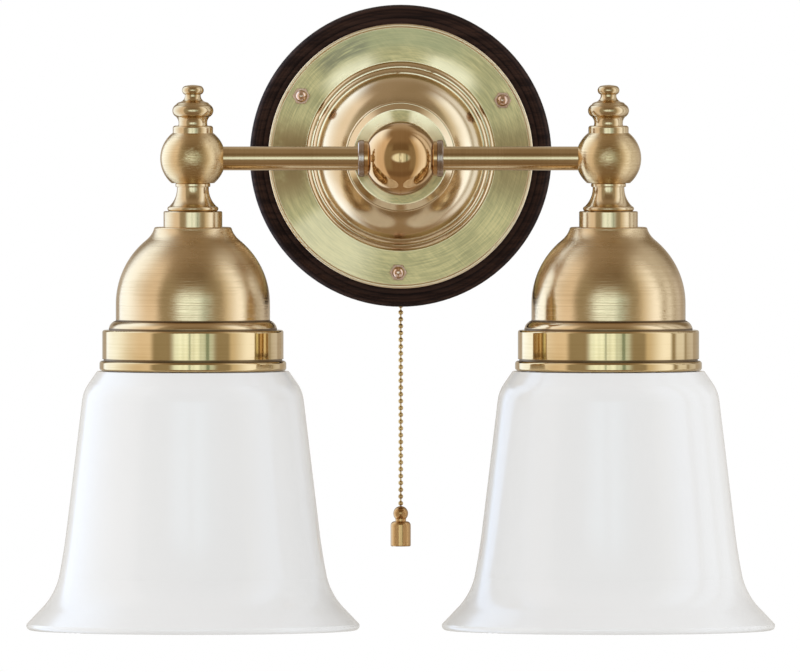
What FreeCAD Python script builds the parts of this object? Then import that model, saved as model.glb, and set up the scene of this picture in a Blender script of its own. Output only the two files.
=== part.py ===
import FreeCAD, Part

# Double arm wall sconce: a wood and brass wall plate, two brass arms, two opal glass
# shades that open downwards, and a pull switch with a ball chain.
# Millimetres. X runs along the arms, Y into the wall, Z up. The origin is the middle of
# the wood plate's back, on the wall, and the arms and lamps stand out towards -Y.

import math
import os

import Sketcher

DOCUMENT = FreeCAD.newDocument("double_arm_wall_sconce")
SHEET = DOCUMENT.addObject("Spreadsheet::Sheet", "dim")
NODES = []

SIZES = {
    # Layout
    "lamp_offset": 100.0,
    "arm_reach": 95.0,
    # Fits
    "thread_radius": 5.0,
    "thread_clearance": 0.1,
    "socket_clearance": 0.1,
    "wire_bore": 3.6,
    # Wood plate
    "wood_margin": 9.0,
    "wood_thickness": 22.0,
    "wood_edge_width": 6.4,
    "wood_quirk_depth": 1.0,
    "wood_round": 4.8,
    "wood_rim": 23.0,
    "recess_depth": 15.0,
    "web_hole_radius": 20.0,
    "pillar_radius": 7.0,
    "wall_screw_spacing": 60.0,
    "wall_screw_hole": 2.25,
    # Brass plate
    "plate_radius": 64.0,
    "plate_sheet": 1.2,
    "plate_bead_height": 0.56,
    "plate_bead_width": 1.8,
    "flange_width": 18.1,
    "reed_radius": 2.9,
    "swell_bow": 1.6,
    "swell_rise": 12.6,
    "boss_radius": 26.9,
    "boss_wall": 0.5,
    "boss_bead": 1.1,
    "boss_step_width": 2.8,
    "boss_step_height": 2.0,
    # Studs and cap nuts
    "stud_inset": 7.8,
    "stud_turn": 1.2,
    "stud_radius": 2.0,
    "stud_depth": 9.0,
    "stud_height": 5.0,
    "nut_across_flats": 7.2,
    "nut_hex_height": 3.2,
    "nut_bevel_angle": 30.0,
    "nut_dome_radius": 2.9,
    "nut_dome_step": 1.0,
    "nut_end_gap": 0.4,
    # Stem, hub and arms
    "stem_radius": 6.0,
    "stem_seat_radius": 9.0,
    "stem_seat_rim": 1.5,
    "stem_seat_height": 6.0,
    "stem_seat_hollow": 0.64,
    "plate_thread_length": 8.0,
    "lock_nut_across_flats": 14.0,
    "lock_nut_height": 4.0,
    "hub_radius": 17.85,
    "hub_boss_radius": 8.3,
    "hub_boss_reach": 17.4,
    "hub_cavity_radius": 9.0,
    "hub_thread_length": 8.0,
    "hub_collar_radius": 8.9,
    "hub_collar_width": 3.1,
    "hub_collar_chamfer": 0.4,
    "arm_radius": 5.75,
    # End balls and nipples
    "ball_radius": 15.75,
    "ball_top_flat": 12.2,
    "ball_bottom_flat": 11.85,
    "arm_socket_floor": 9.6,
    "nipple_bore": 3.5,
    "nipple_window": 3.3,
    "nipple_rise": 7.5,
    "nipple_drop": 10.0,
    # Finial
    "finial_base_radius": 9.7,
    "finial_base_height": 3.6,
    "finial_base_round": 1.2,
    "finial_waist_radius": 7.1,
    "finial_waist_top_radius": 8.1,
    "finial_waist_height": 4.2,
    "finial_waist_hollow": 0.62,
    "finial_bulb_height": 6.0,
    "finial_bulb_swell": 1.78,
    "finial_shoulder_radius": 6.2,
    "finial_shoulder_height": 1.2,
    "finial_shoulder_swell": 0.25,
    "finial_neck_radius": 3.8,
    "finial_neck_rise": 2.6,
    "finial_neck_hollow": 0.5,
    "finial_neck_length": 0.9,
    "finial_button_height": 4.35,
    "finial_button_top_radius": 3.05,
    "finial_button_swell": 1.83,
    "finial_crown_height": 0.35,
    "finial_bore_depth": 8.5,
    # Neck and collar
    "neck_bead_radius": 8.4,
    "neck_bead_height": 1.9,
    "neck_bead_round": 0.5,
    "neck_radius": 7.65,
    "neck_length": 9.25,
    "neck_flare_radius": 11.4,
    "neck_flare_hollow": 0.985,
    "neck_lip_height": 2.4,
    "neck_lip_swell": 0.9,
    "collar_radius": 14.15,
    "collar_height": 7.6,
    "collar_chamfer": 0.4,
    # Dome
    "dome_sheet": 1.0,
    "dome_top_radius": 17.6,
    "dome_top_round": 1.2,
    "dome_waist_radius": 22.4,
    "dome_waist_drop": 6.2,
    "dome_waist_hollow": 0.4,
    "dome_side_radius": 37.1,
    "dome_side_drop": 37.0,
    "dome_wall_drop": 45.0,
    "dome_roll": 3.4,
    "dome_roll_height": 4.6,
    "dome_roll_hollow": 0.95,
    # Shade ring and gasket
    "ring_plate_thickness": 1.5,
    "ring_plate_radius": 36.0,
    "ring_band_radius": 43.6,
    "ring_band_round": 1.0,
    "ring_band_height": 13.9,
    "ring_groove_depth": 0.6,
    "ring_groove_width": 0.9,
    "ring_lip_step": 1.35,
    "ring_lip_height": 4.7,
    "ring_lip_round": 1.3,
    "ring_wall": 1.8,
    "gasket_thickness": 2.0,
    "gasket_width": 5.0,
    # Glass shade
    "glass_wall": 3.0,
    "glass_neck_clearance": 0.4,
    "glass_seat_gap": 0.3,
    "glass_ledge_width": 4.8,
    "glass_slope_width": 4.3,
    "glass_slope_height": 6.2,
    "glass_turn_width": 2.8,
    "glass_turn_height": 7.4,
    "glass_turn_swell": 0.44,
    "glass_cone_width": 7.1,
    "glass_cone_height": 59.0,
    "glass_flare_width": 4.1,
    "glass_flare_height": 26.5,
    "glass_flare_hollow": 0.3,
    "glass_bell_width": 9.5,
    "glass_bell_height": 16.2,
    "glass_bell_hollow": 1.365,
    "glass_bell_slope": 45.0,
    "glass_lip_width": 6.0,
    "glass_lip_height": 6.3,
    "glass_lip_step": 2.8,
    "glass_lip_swell": 1.4,
    "glass_neck_inner_drop": 1.9,
    # Lampholder
    "holder_cap_step": 1.0,
    "holder_cap_height": 18.0,
    "holder_cap_round": 8.0,
    "holder_cap_wall": 1.5,
    "holder_cap_crown": 3.0,
    "holder_boss_wall": 2.5,
    "holder_skirt_wall": 2.2,
    "holder_skirt_height": 38.0,
    "holder_ledge": 2.3,
    "holder_shell_gap": 1.6,
    "insert_height": 8.0,
    "insert_clearance": 0.3,
    "lamp_thread_radius": 13.3,
    "screw_shell_sheet": 0.6,
    "screw_shell_height": 26.0,
    "screw_shell_hole": 8.0,
    "screw_shell_neck": 10.4,
    "screw_shell_neck_height": 2.8,
    "contact_radius": 4.0,
    "contact_height": 1.0,
    "contact_tip_radius": 2.5,
    "contact_tip_height": 2.0,
    # Wiring
    "wire_radius": 1.2,
    "wire_spacing": 3.8,
    "wire_plane": 9.5,
    "lamp_wire_start": 8.0,
    "lamp_wire_drop": 8.0,
    "wire_bend": 3.6,
    "wire_entry_bend": 5.4,
    "switch_wire_slack": 4.0,
    "switch_wire_bend": 6.0,
    "block_width": 30.0,
    "block_height": 13.0,
    "block_depth": 10.0,
    "block_level": 14.0,
    "block_pole_pitch": 10.0,
    "block_row_pitch": 6.0,
    "block_screw_radius": 1.8,
    "block_screw_clearance": 0.2,
    "block_screw_length": 4.8,
    "block_hole_depth": 4.4,
    # Pull switch
    "chain_inset": 7.0,
    "switch_edge_gap": 3.0,
    "switch_height": 26.0,
    "switch_wall": 1.5,
    "switch_cover": 1.2,
    "switch_back_gap": 1.3,
    "pull_travel": 8.0,
    "cross_pin_height": 15.65,
    "lever_length": 9.0,
    "lever_side_gap": 0.2,
    "lever_thickness": 1.2,
    "lever_gap": 0.3,
    "lever_hub_radius": 2.8,
    "lever_width": 3.6,
    "lever_overhang": 3.0,
    "fork_slot": 2.2,
    "fork_slot_start": 6.4,
    "pin_radius": 1.2,
    "pin_clearance": 0.05,
    "rotor_radius": 3.6,
    "rotor_gap": 0.4,
    "rotor_tooth": 0.9,
    "rotor_thickness": 5.0,
    "rotor_front_gap": 0.5,
    "contact_strip_gap": 5.0,
    "contact_strip_height": 6.0,
    "contact_strip_depth": 4.0,
    "contact_strip_thickness": 0.6,
    "spring_radius": 2.6,
    "spring_wire": 0.5,
    "spring_pitch": 1.1,
    "spring_turns": 3.0,
    # Chain, bush and knob
    "bush_radius": 3.5,
    "bush_bore": 2.0,
    "bush_clearance": 0.1,
    "bush_flange_radius": 4.6,
    "bush_flange_height": 1.2,
    "bush_flange_inset": 0.3,
    "coupling_radius": 2.2,
    "coupling_above_pin": 2.5,
    "coupling_shortest": 2.0,
    "cross_pin_radius": 0.8,
    "bead_radius": 1.2,
    "bead_pitch": 3.3,
    "link_radius": 0.4,
    "link_gap": 0.05,
    "first_bead_drop": 2.9,
    "free_bead_count": 27.0,
    "knob_ball_radius": 3.6,
    "knob_neck_radius": 2.6,
    "knob_body_radius": 4.87,
    "knob_body_drop": 7.35,
    "knob_height": 19.5,
    "knob_round": 2.0,
    "knob_bottom_round": 0.4,
}


def fill_sheet():
    """Writes the driving sizes to the sheet, one alias to a row."""
    for row, (alias, size) in enumerate(SIZES.items(), start=1):
        SHEET.set(f"A{row}", alias)
        SHEET.set(f"B{row}", f"{size:g}")
        SHEET.setAlias(f"B{row}", alias)
    DOCUMENT.recompute()


def number(text):
    """The value of an expression on the sheet."""
    return float(SHEET.evalExpression(text))


def new_body(label, x="0", y="0", z="0"):
    """A sub-part whose own origin stands at x, y, z."""
    body = DOCUMENT.addObject("PartDesign::Body", label)
    body.Label = label
    for axis, text in zip("xyz", (x, y, z)):
        body.setExpression(f".Placement.Base.{axis}", text)
    NODES.append(body)
    return body


def new_sketch(body, plane_role, lift="0"):
    """A sketch on one of the body's own origin planes, lifted along the plane's normal."""
    sketch = body.newObject("Sketcher::SketchObject", f"{body.Name}_outline")
    plane = next(item for item in body.Origin.OriginFeatures if item.Role == plane_role)
    sketch.AttachmentSupport = [(plane, "")]
    sketch.MapMode = "FlatFace"
    sketch.setExpression(".AttachmentOffset.Base.z", lift)
    return sketch


def to(x, y):
    """A straight edge to x, y."""
    return x, y, None, 0


def left(x, y, radius):
    """An arc to x, y that turns left on its way."""
    return x, y, radius, 1


def right(x, y, radius):
    """An arc to x, y that turns right on its way."""
    return x, y, radius, -1


def pin_point(sketch, edge, end, x, y):
    """Ties one end of an edge to the sheet, in both directions."""
    rows = []
    for text, kind, axis in ((x, "DistanceX", -2), (y, "DistanceY", -1)):
        if text == "0":
            rows.append((Sketcher.Constraint("PointOnObject", edge, end, axis), None))
        else:
            rows.append((Sketcher.Constraint(kind, -1, 1, edge, end, number(text)), text))
    return rows


def bowed(width, height, bow):
    """The radius of an arc that spans a width and a height and stands a bow off its chord."""
    return f"((({width}) ^ 2 + ({height}) ^ 2) / 4 + ({bow}) ^ 2) / (2 * ({bow}))"


def arc_between(start, end, radius, turn):
    """The short arc from start to end, always stored counter-clockwise."""
    chord = end - start
    side = FreeCAD.Vector(-chord.y, chord.x, 0).normalize()
    rise = math.sqrt(max(radius ** 2 - (chord.Length / 2) ** 2, 0))
    centre = start + chord * 0.5 + side * (rise * turn)
    first, last = (start, end) if turn > 0 else (end, start)
    begin = math.atan2(first.y - centre.y, first.x - centre.x)
    finish = math.atan2(last.y - centre.y, last.x - centre.x)
    if finish < begin:
        finish += 2 * math.pi
    circle = Part.Circle(centre, FreeCAD.Vector(0, 0, 1), radius)
    return Part.ArcOfCircle(circle, begin, finish)


def draw(sketch, *steps):
    """A closed outline through the steps. The first step is the start, and the last closes to it."""
    points = [FreeCAD.Vector(number(x), number(y), 0) for x, y, _, _ in steps]
    count = len(steps)
    base = sketch.GeometryCount
    shapes = []
    heads = []
    for index in range(count):
        following = (index + 1) % count
        _, _, radius, turn = steps[following]
        start = points[index]
        end = points[following]
        if radius is None:
            shapes.append(Part.LineSegment(start, end))
        else:
            shapes.append(arc_between(start, end, number(radius), turn))
        heads.append((1, 2) if turn >= 0 else (2, 1))
    sketch.addGeometry(shapes, False)
    rows = []
    for index in range(count):
        following = (index + 1) % count
        edge = base + index
        tail = Sketcher.Constraint(
            "Coincident", edge, heads[index][1], base + following, heads[following][0])
        rows.append((tail, None))
        x, y, _, _ = steps[index]
        rows.extend(pin_point(sketch, edge, heads[index][0], x, y))
        radius = steps[following][2]
        if radius is not None:
            rows.append((Sketcher.Constraint("Radius", edge, number(radius)), radius))
    tie(sketch, rows)


def draw_circle(sketch, radius, x="0", y="0"):
    """A circle of a sheet size about x, y."""
    edge = sketch.GeometryCount
    centre = FreeCAD.Vector(number(x), number(y), 0)
    sketch.addGeometry(Part.Circle(centre, FreeCAD.Vector(0, 0, 1), number(radius)), False)
    rows = pin_point(sketch, edge, 3, x, y)
    rows.append((Sketcher.Constraint("Radius", edge, number(radius)), radius))
    tie(sketch, rows)


def tie(sketch, rows):
    """Adds constraints and binds those that carry a size."""
    indices = sketch.addConstraint([constraint for constraint, _ in rows])
    for index, (_, text) in zip(indices, rows):
        if text is not None:
            sketch.setExpression(f"Constraints[{index}]", text)


def revolve(body, plane_role, axis, *steps):
    """Turns an outline right round an axis of its sketch."""
    sketch = new_sketch(body, plane_role)
    draw(sketch, *steps)
    feature = body.newObject("PartDesign::Revolution", f"{body.Name}_turned")
    feature.Profile = sketch
    feature.ReferenceAxis = (sketch, [axis])
    feature.Angle = 360
    return feature


def turned_on_z(body, *steps):
    """A turned piece about Z: x is the radius and y the height."""
    return revolve(body, "XZ_Plane", "V_Axis", *steps)


def turned_on_y(body, *steps):
    """A turned piece about Y: x is the radius and y runs into the wall."""
    return revolve(body, "XY_Plane", "V_Axis", *steps)


def turned_on_x(body, *steps):
    """A turned piece about X: x runs along the arms and y is the radius."""
    return revolve(body, "XZ_Plane", "H_Axis", *steps)


def pad(body, sketch, length, reverse=False):
    """Raises a sketch by a length."""
    feature = body.newObject("PartDesign::Pad", f"{body.Name}_pad")
    feature.Profile = sketch
    feature.setExpression("Length", length)
    feature.Reversed = reverse
    return feature


def pocket(body, sketch, length=None, reverse=False):
    """Cuts a sketch to a depth, or right through. A cut that removes nothing is an error."""
    DOCUMENT.recompute()
    before = body.Shape.Volume
    feature = body.newObject("PartDesign::Pocket", f"{body.Name}_pocket")
    feature.Profile = sketch
    feature.Reversed = reverse
    if length is None:
        feature.Type = "ThroughAll"
    else:
        feature.setExpression("Length", length)
    DOCUMENT.recompute()
    if feature.Shape.Volume >= before:
        raise RuntimeError(f"{feature.Name} cuts nothing")
    return feature


def ring_of_three(body, features, radius):
    """Repeats features three times about an axis that lies one radius above the body's own."""
    centre = new_sketch(body, "XZ_Plane")
    centre.setExpression(".AttachmentOffset.Base.y", radius)
    DOCUMENT.recompute()
    pattern = body.newObject("PartDesign::PolarPattern", f"{body.Name}_ring")
    pattern.Originals = features
    pattern.Axis = (centre, ["N_Axis"])
    pattern.Angle = 360
    pattern.Occurrences = 3
    body.Tip = pattern
    return pattern


def hexagon(sketch, across_flats, x="0", y="0"):
    """A hexagon with two corners level with its centre."""
    steps = []
    for turn in range(0, 360, 60):
        corner_x = f"{x} + {across_flats} / sqrt(3) * cos({turn})"
        corner_y = f"{y} + {across_flats} / sqrt(3) * sin({turn})"
        steps.append(to(corner_x, corner_y))
    draw(sketch, *steps)


def rectangle(sketch, half_width, low, high):
    """A rectangle about the middle, from a low to a high level."""
    draw(sketch, to(f"-({half_width})", low), to(half_width, low),
         to(half_width, high), to(f"-({half_width})", high))


THREAD_HOLE = "dim.thread_radius + dim.thread_clearance"

# Radii about the wall plate's axis
WOOD_RADIUS = "(dim.plate_radius + dim.wood_margin)"
RECESS_RADIUS = f"({WOOD_RADIUS} - dim.wood_rim)"
STUD_CIRCLE = "(dim.plate_radius - dim.stud_inset)"
REED_FOOT = "(dim.plate_radius - dim.flange_width)"

# Radii about a lamp's axis
RING_BORE = "(dim.ring_band_radius - dim.ring_wall)"
SHELL_RADIUS = "(dim.lamp_thread_radius + dim.screw_shell_sheet)"
LEDGE_RADIUS = f"({SHELL_RADIUS} + dim.holder_shell_gap)"
SKIRT_BORE = f"({LEDGE_RADIUS} + dim.holder_ledge)"
SKIRT_RADIUS = f"({SKIRT_BORE} + dim.holder_skirt_wall)"
HOLDER_RADIUS = f"({SKIRT_RADIUS} - dim.holder_cap_step)"

# Heights out from the wall, as places along -Y
WOOD_FACE = "-dim.wood_thickness"
PLATE_FACE = f"{WOOD_FACE} - dim.plate_sheet"
REED_TOP = f"{PLATE_FACE} - 2 * dim.reed_radius"
SWELL_TOP = f"{REED_TOP} - dim.swell_rise"
BOSS_SHOULDER = f"{SWELL_TOP} - dim.boss_wall"
BOSS_STEP = f"{BOSS_SHOULDER} - dim.boss_bead"
BOSS_FACE = f"{BOSS_STEP} - dim.boss_step_height"

# Heights down a lamp, from the arm's axis
NECK_TOP = "-dim.ball_bottom_flat"
NECK_SHOULDER = f"{NECK_TOP} - dim.neck_bead_height"
NECK_FLARE = f"{NECK_SHOULDER} - dim.neck_length"
NECK_BOTTOM = f"{NECK_FLARE} - dim.neck_lip_height"
COLLAR_BOTTOM = f"{NECK_BOTTOM} - dim.collar_height"
DOME_BOTTOM = f"{COLLAR_BOTTOM} - dim.dome_wall_drop - dim.dome_roll_height"
RING_PLATE_BOTTOM = f"{DOME_BOTTOM} - dim.ring_plate_thickness"
GLASS_TOP = f"{RING_PLATE_BOTTOM} - dim.gasket_thickness"
RING_BAND_BOTTOM = f"{DOME_BOTTOM} - dim.ring_band_height"
RING_LIP_TOP = f"{RING_BAND_BOTTOM} - dim.ring_groove_width"
RING_BOTTOM = f"{RING_LIP_TOP} - dim.ring_lip_height"
GLASS_SHOULDER = f"{RING_BOTTOM} - dim.glass_seat_gap"
HOLDER_TOP = f"{COLLAR_BOTTOM} - dim.dome_sheet"
HOLDER_JOINT = f"{HOLDER_TOP} - dim.holder_cap_height"
INSERT_BOTTOM = f"{HOLDER_JOINT} - dim.insert_height"

# Heights in the pull switch and down the chain
SWITCH_BOTTOM = f"-{RECESS_RADIUS} + dim.switch_edge_gap"
SWITCH_TOP = f"{SWITCH_BOTTOM} + dim.switch_height"
SWITCH_FLOOR = f"{SWITCH_BOTTOM} + dim.switch_wall"
CROSS_PIN = f"{SWITCH_FLOOR} + dim.cross_pin_height"
LEVER_PIVOT = f"{CROSS_PIN} - dim.pull_travel / 2"
BUSH_BOTTOM = f"-{WOOD_RADIUS} + dim.bush_flange_inset"
BUSH_SEAT = f"{BUSH_BOTTOM} + dim.bush_flange_height"
LAST_INNER_BEAD = f"-{WOOD_RADIUS} - dim.first_bead_drop"
LINK_REACH = "(dim.bead_radius + dim.link_gap)"
CHAIN_ROOM = f"({CROSS_PIN} - dim.coupling_shortest + {LINK_REACH} - ({LAST_INNER_BEAD}))"
INNER_BEADS = f"floor({CHAIN_ROOM} / dim.bead_pitch)"
FIRST_INNER_BEAD = f"{LAST_INNER_BEAD} + ({INNER_BEADS} - 1) * dim.bead_pitch"
COUPLING_BOTTOM = f"{FIRST_INNER_BEAD} + dim.bead_pitch - {LINK_REACH}"
LINK_BEAD = f"{LAST_INNER_BEAD} - dim.bead_pitch"
FIRST_FREE_BEAD = f"{LINK_BEAD} - dim.bead_pitch"
LAST_FREE_BEAD = f"{FIRST_FREE_BEAD} - (dim.free_bead_count - 1) * dim.bead_pitch"
KNOB_TOP = f"{LAST_FREE_BEAD} - dim.bead_radius - 2 * dim.link_gap"

# Places in the pull switch, along Y and X
RECESS_FLOOR = "-dim.recess_depth"
CHAIN_PLANE = "(dim.recess_depth - dim.chain_inset)"
SWITCH_DEPTH = "(dim.recess_depth - dim.switch_back_gap - dim.switch_cover)"
LEVER_FRONT = f"{RECESS_FLOOR} + dim.switch_wall + dim.lever_gap"
LEVER_BACK = f"{LEVER_FRONT} + dim.lever_thickness"
TRAY_HALF = "(dim.lever_length + dim.lever_hub_radius + dim.lever_side_gap)"
SWITCH_HALF = f"({TRAY_HALF} + dim.switch_wall)"
ROTOR_X = f"({TRAY_HALF} - dim.contact_strip_thickness - dim.rotor_gap - dim.rotor_radius)"


def wood_backplate():
    """Turned hardwood plate: a quirk and a round at the front edge, a wiring recess behind."""
    body = new_body("wood_backplate")
    quirk = f"{WOOD_FACE} + dim.wood_quirk_depth"
    flat_edge = f"{WOOD_RADIUS} - dim.wood_edge_width"
    turned_on_y(
        body,
        to("dim.web_hole_radius", RECESS_FLOOR),
        to(RECESS_RADIUS, RECESS_FLOOR),
        to(RECESS_RADIUS, "0"),
        to(WOOD_RADIUS, "0"),
        to(WOOD_RADIUS, f"{quirk} + dim.wood_round"),
        right(f"{WOOD_RADIUS} - dim.wood_round", quirk, "dim.wood_round"),
        to(flat_edge, quirk),
        to(flat_edge, WOOD_FACE),
        to("dim.web_hole_radius", WOOD_FACE))
    spacing = "dim.wall_screw_spacing / 2"
    pillars = new_sketch(body, "XZ_Plane")
    for side in ("-", ""):
        draw_circle(pillars, "dim.pillar_radius", f"{side}{spacing}")
    pad(body, pillars, "(dim.recess_depth + dim.wood_thickness) / 2")
    screw_holes = new_sketch(body, "XZ_Plane")
    for side in ("-", ""):
        draw_circle(screw_holes, "dim.wall_screw_hole", f"{side}{spacing}")
    pocket(body, screw_holes, reverse=True)
    stud_holes = new_sketch(body, "XZ_Plane", "dim.wood_thickness")
    stud_circles(stud_holes)
    pocket(body, stud_holes, "dim.stud_depth + dim.thread_clearance")
    chain_hole = new_sketch(body, "XY_Plane")
    draw_circle(chain_hole, "dim.bush_radius + dim.bush_clearance", "0", f"-{CHAIN_PLANE}")
    pocket(body, chain_hole)
    flange_seat = new_sketch(body, "XY_Plane", BUSH_SEAT)
    draw_circle(flange_seat, "dim.bush_flange_radius + dim.bush_clearance", "0",
                f"-{CHAIN_PLANE}")
    pocket(body, flange_seat)


def stud_circles(sketch):
    """The three stud holes, as seen on the plate's face."""
    for turn in (30, 150, 270):
        draw_circle(
            sketch,
            "dim.stud_radius + dim.thread_clearance",
            f"{STUD_CIRCLE} * cos({turn} - dim.stud_turn)",
            f"{STUD_CIRCLE} * sin({turn} - dim.stud_turn)")


def brass_backplate():
    """Spun sheet: edge bead, flat flange, two reeds, a round swell and a stepped boss."""
    body = new_body("brass_backplate")
    inner_reed = "(dim.reed_radius - dim.plate_sheet)"
    reed_step = f"{REED_FOOT} - dim.reed_radius"
    reed_end = f"{REED_FOOT} - 2 * dim.reed_radius"
    swell_arc = bowed(f"{reed_end} - dim.boss_radius", "dim.swell_rise", "dim.swell_bow")
    boss_edge = "dim.boss_radius - dim.boss_bead"
    boss_inside = "dim.boss_radius - dim.plate_sheet"
    turned_on_y(
        body,
        to("dim.plate_radius", WOOD_FACE),
        to("dim.plate_radius", PLATE_FACE),
        right("dim.plate_radius - dim.plate_bead_width", PLATE_FACE,
              bowed("dim.plate_bead_width", "0", "dim.plate_bead_height")),
        to(REED_FOOT, PLATE_FACE),
        right(reed_step, f"{PLATE_FACE} - dim.reed_radius", "dim.reed_radius"),
        right(reed_end, REED_TOP, "dim.reed_radius"),
        right("dim.boss_radius", SWELL_TOP, swell_arc),
        to("dim.boss_radius", BOSS_SHOULDER),
        right(boss_edge, BOSS_STEP, "dim.boss_bead"),
        to(f"{boss_edge} - dim.boss_step_width", BOSS_FACE),
        to(THREAD_HOLE, BOSS_FACE),
        to(THREAD_HOLE, f"{BOSS_FACE} + dim.plate_sheet"),
        to(f"{boss_inside} - dim.boss_step_width", f"{BOSS_FACE} + dim.plate_sheet"),
        to(boss_inside, f"{BOSS_STEP} + dim.plate_sheet"),
        to(boss_inside, f"{SWELL_TOP} + dim.plate_sheet"),
        left(f"{reed_end} - dim.plate_sheet", f"{REED_TOP} + dim.plate_sheet",
             f"{swell_arc} - dim.plate_sheet"),
        to(reed_end, f"{REED_TOP} + dim.plate_sheet"),
        left(f"{reed_end} + {inner_reed}", f"{PLATE_FACE} - dim.reed_radius", inner_reed),
        to(f"{reed_end} + {inner_reed}", f"{PLATE_FACE} - {inner_reed}"),
        to(reed_step, f"{PLATE_FACE} - {inner_reed}"),
        left(f"{reed_step} + {inner_reed}", PLATE_FACE, inner_reed),
        to(f"{reed_step} + {inner_reed}", WOOD_FACE))
    holes = new_sketch(body, "XZ_Plane", "dim.wood_thickness + 2 * dim.plate_sheet")
    stud_circles(holes)
    pocket(body, holes, "2 * dim.plate_sheet")


def on_lowest_stud(label):
    """A body whose own origin is the middle of the lowest stud's axis, turned with the studs."""
    body = new_body(
        label,
        f"-{STUD_CIRCLE} * sin(dim.stud_turn)",
        "0",
        f"-{STUD_CIRCLE} * cos(dim.stud_turn)")
    body.Placement = FreeCAD.Placement(
        body.Placement.Base, FreeCAD.Rotation(FreeCAD.Vector(0, 1, 0), 1))
    body.setExpression(".Placement.Rotation.Angle", "dim.stud_turn")
    return body


def mounting_studs():
    """Three plain studs screwed into the wood, one node."""
    body = on_lowest_stud("mounting_studs")
    stud = turned_on_y(
        body,
        to("0", f"{WOOD_FACE} + dim.stud_depth"),
        to("dim.stud_radius", f"{WOOD_FACE} + dim.stud_depth"),
        to("dim.stud_radius", f"{PLATE_FACE} - dim.stud_height"),
        to("0", f"{PLATE_FACE} - dim.stud_height"))
    ring_of_three(body, [stud], STUD_CIRCLE)


def cap_nuts():
    """Three domed nuts: a hexagon with turned-off corners under a half-round cap."""
    body = on_lowest_stud("cap_nuts")
    outline = new_sketch(body, "XZ_Plane", "dim.wood_thickness + dim.plate_sheet")
    hexagon(outline, "dim.nut_across_flats")
    hex_part = pad(body, outline, "dim.nut_hex_height")
    top = f"{PLATE_FACE} - dim.nut_hex_height"
    dome_foot = f"{top} - dim.nut_dome_step"
    dome = turned_on_y(
        body,
        to("0", top),
        to("dim.nut_dome_radius", top),
        to("dim.nut_dome_radius", dome_foot),
        right("0", f"{dome_foot} - dim.nut_dome_radius", "dim.nut_dome_radius"))
    bevel = new_sketch(body, "XY_Plane")
    inscribed = "dim.nut_across_flats / 2"
    draw(
        bevel,
        to(inscribed, top),
        to("dim.nut_across_flats", top),
        to("dim.nut_across_flats", f"{top} + {inscribed} * tan(dim.nut_bevel_angle)"))
    cut = body.newObject("PartDesign::Groove", f"{body.Name}_bevel")
    cut.Profile = bevel
    cut.ReferenceAxis = (bevel, ["V_Axis"])
    cut.Angle = 360
    bore = new_sketch(body, "XZ_Plane", "dim.wood_thickness + dim.plate_sheet")
    draw_circle(bore, "dim.stud_radius + dim.thread_clearance")
    hole = pocket(body, bore, "dim.stud_height + dim.nut_end_gap", reverse=True)
    ring_of_three(body, [hex_part, dome, cut, hole], STUD_CIRCLE)


def stem_tube():
    """Turned stem with its own seat on the boss and a threaded spigot at each end."""
    body = new_body("stem_tube")
    rim = f"{BOSS_FACE} - dim.stem_seat_rim"
    seat_end = f"{BOSS_FACE} - dim.stem_seat_height"
    seat_arc = bowed("dim.stem_seat_radius - dim.stem_radius",
                     "dim.stem_seat_height - dim.stem_seat_rim", "dim.stem_seat_hollow")
    shoulder = "-dim.arm_reach + dim.hub_boss_reach + dim.hub_collar_width"
    tip = "-dim.arm_reach + dim.hub_boss_reach - dim.hub_thread_length"
    back = f"{BOSS_FACE} + dim.plate_thread_length"
    turned_on_y(
        body,
        to("dim.wire_bore", back),
        to("dim.thread_radius", back),
        to("dim.thread_radius", BOSS_FACE),
        to("dim.stem_seat_radius", BOSS_FACE),
        to("dim.stem_seat_radius", rim),
        left("dim.stem_radius", seat_end, seat_arc),
        to("dim.stem_radius", shoulder),
        to("dim.thread_radius", shoulder),
        to("dim.thread_radius", tip),
        to("dim.wire_bore", tip))


def stem_lock_nut():
    """Hexagon nut on the stem's thread, behind the boss."""
    body = new_body("stem_lock_nut")
    face = f"-({BOSS_FACE}) - dim.plate_sheet"
    outline = new_sketch(body, "XZ_Plane", face)
    hexagon(outline, "dim.lock_nut_across_flats")
    draw_circle(outline, THREAD_HOLE)
    pad(body, outline, "dim.lock_nut_height", reverse=True)


def lock_collar(label, x, y, turn):
    """Turned lock collar. Its own X axis is the thread's, and its back lies against the hub."""
    body = new_body(label, x, y)
    rotation = FreeCAD.Rotation(FreeCAD.Vector(0, 0, 1), turn)
    body.Placement = FreeCAD.Placement(body.Placement.Base, rotation)
    outer = "dim.hub_collar_radius"
    bevel = "dim.hub_collar_chamfer"
    turned_on_x(
        body,
        to("0", THREAD_HOLE),
        to("dim.hub_collar_width", THREAD_HOLE),
        to("dim.hub_collar_width", f"{outer} - {bevel}"),
        to(f"dim.hub_collar_width - {bevel}", outer),
        to(bevel, outer),
        to("0", f"{outer} - {bevel}"))


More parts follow.
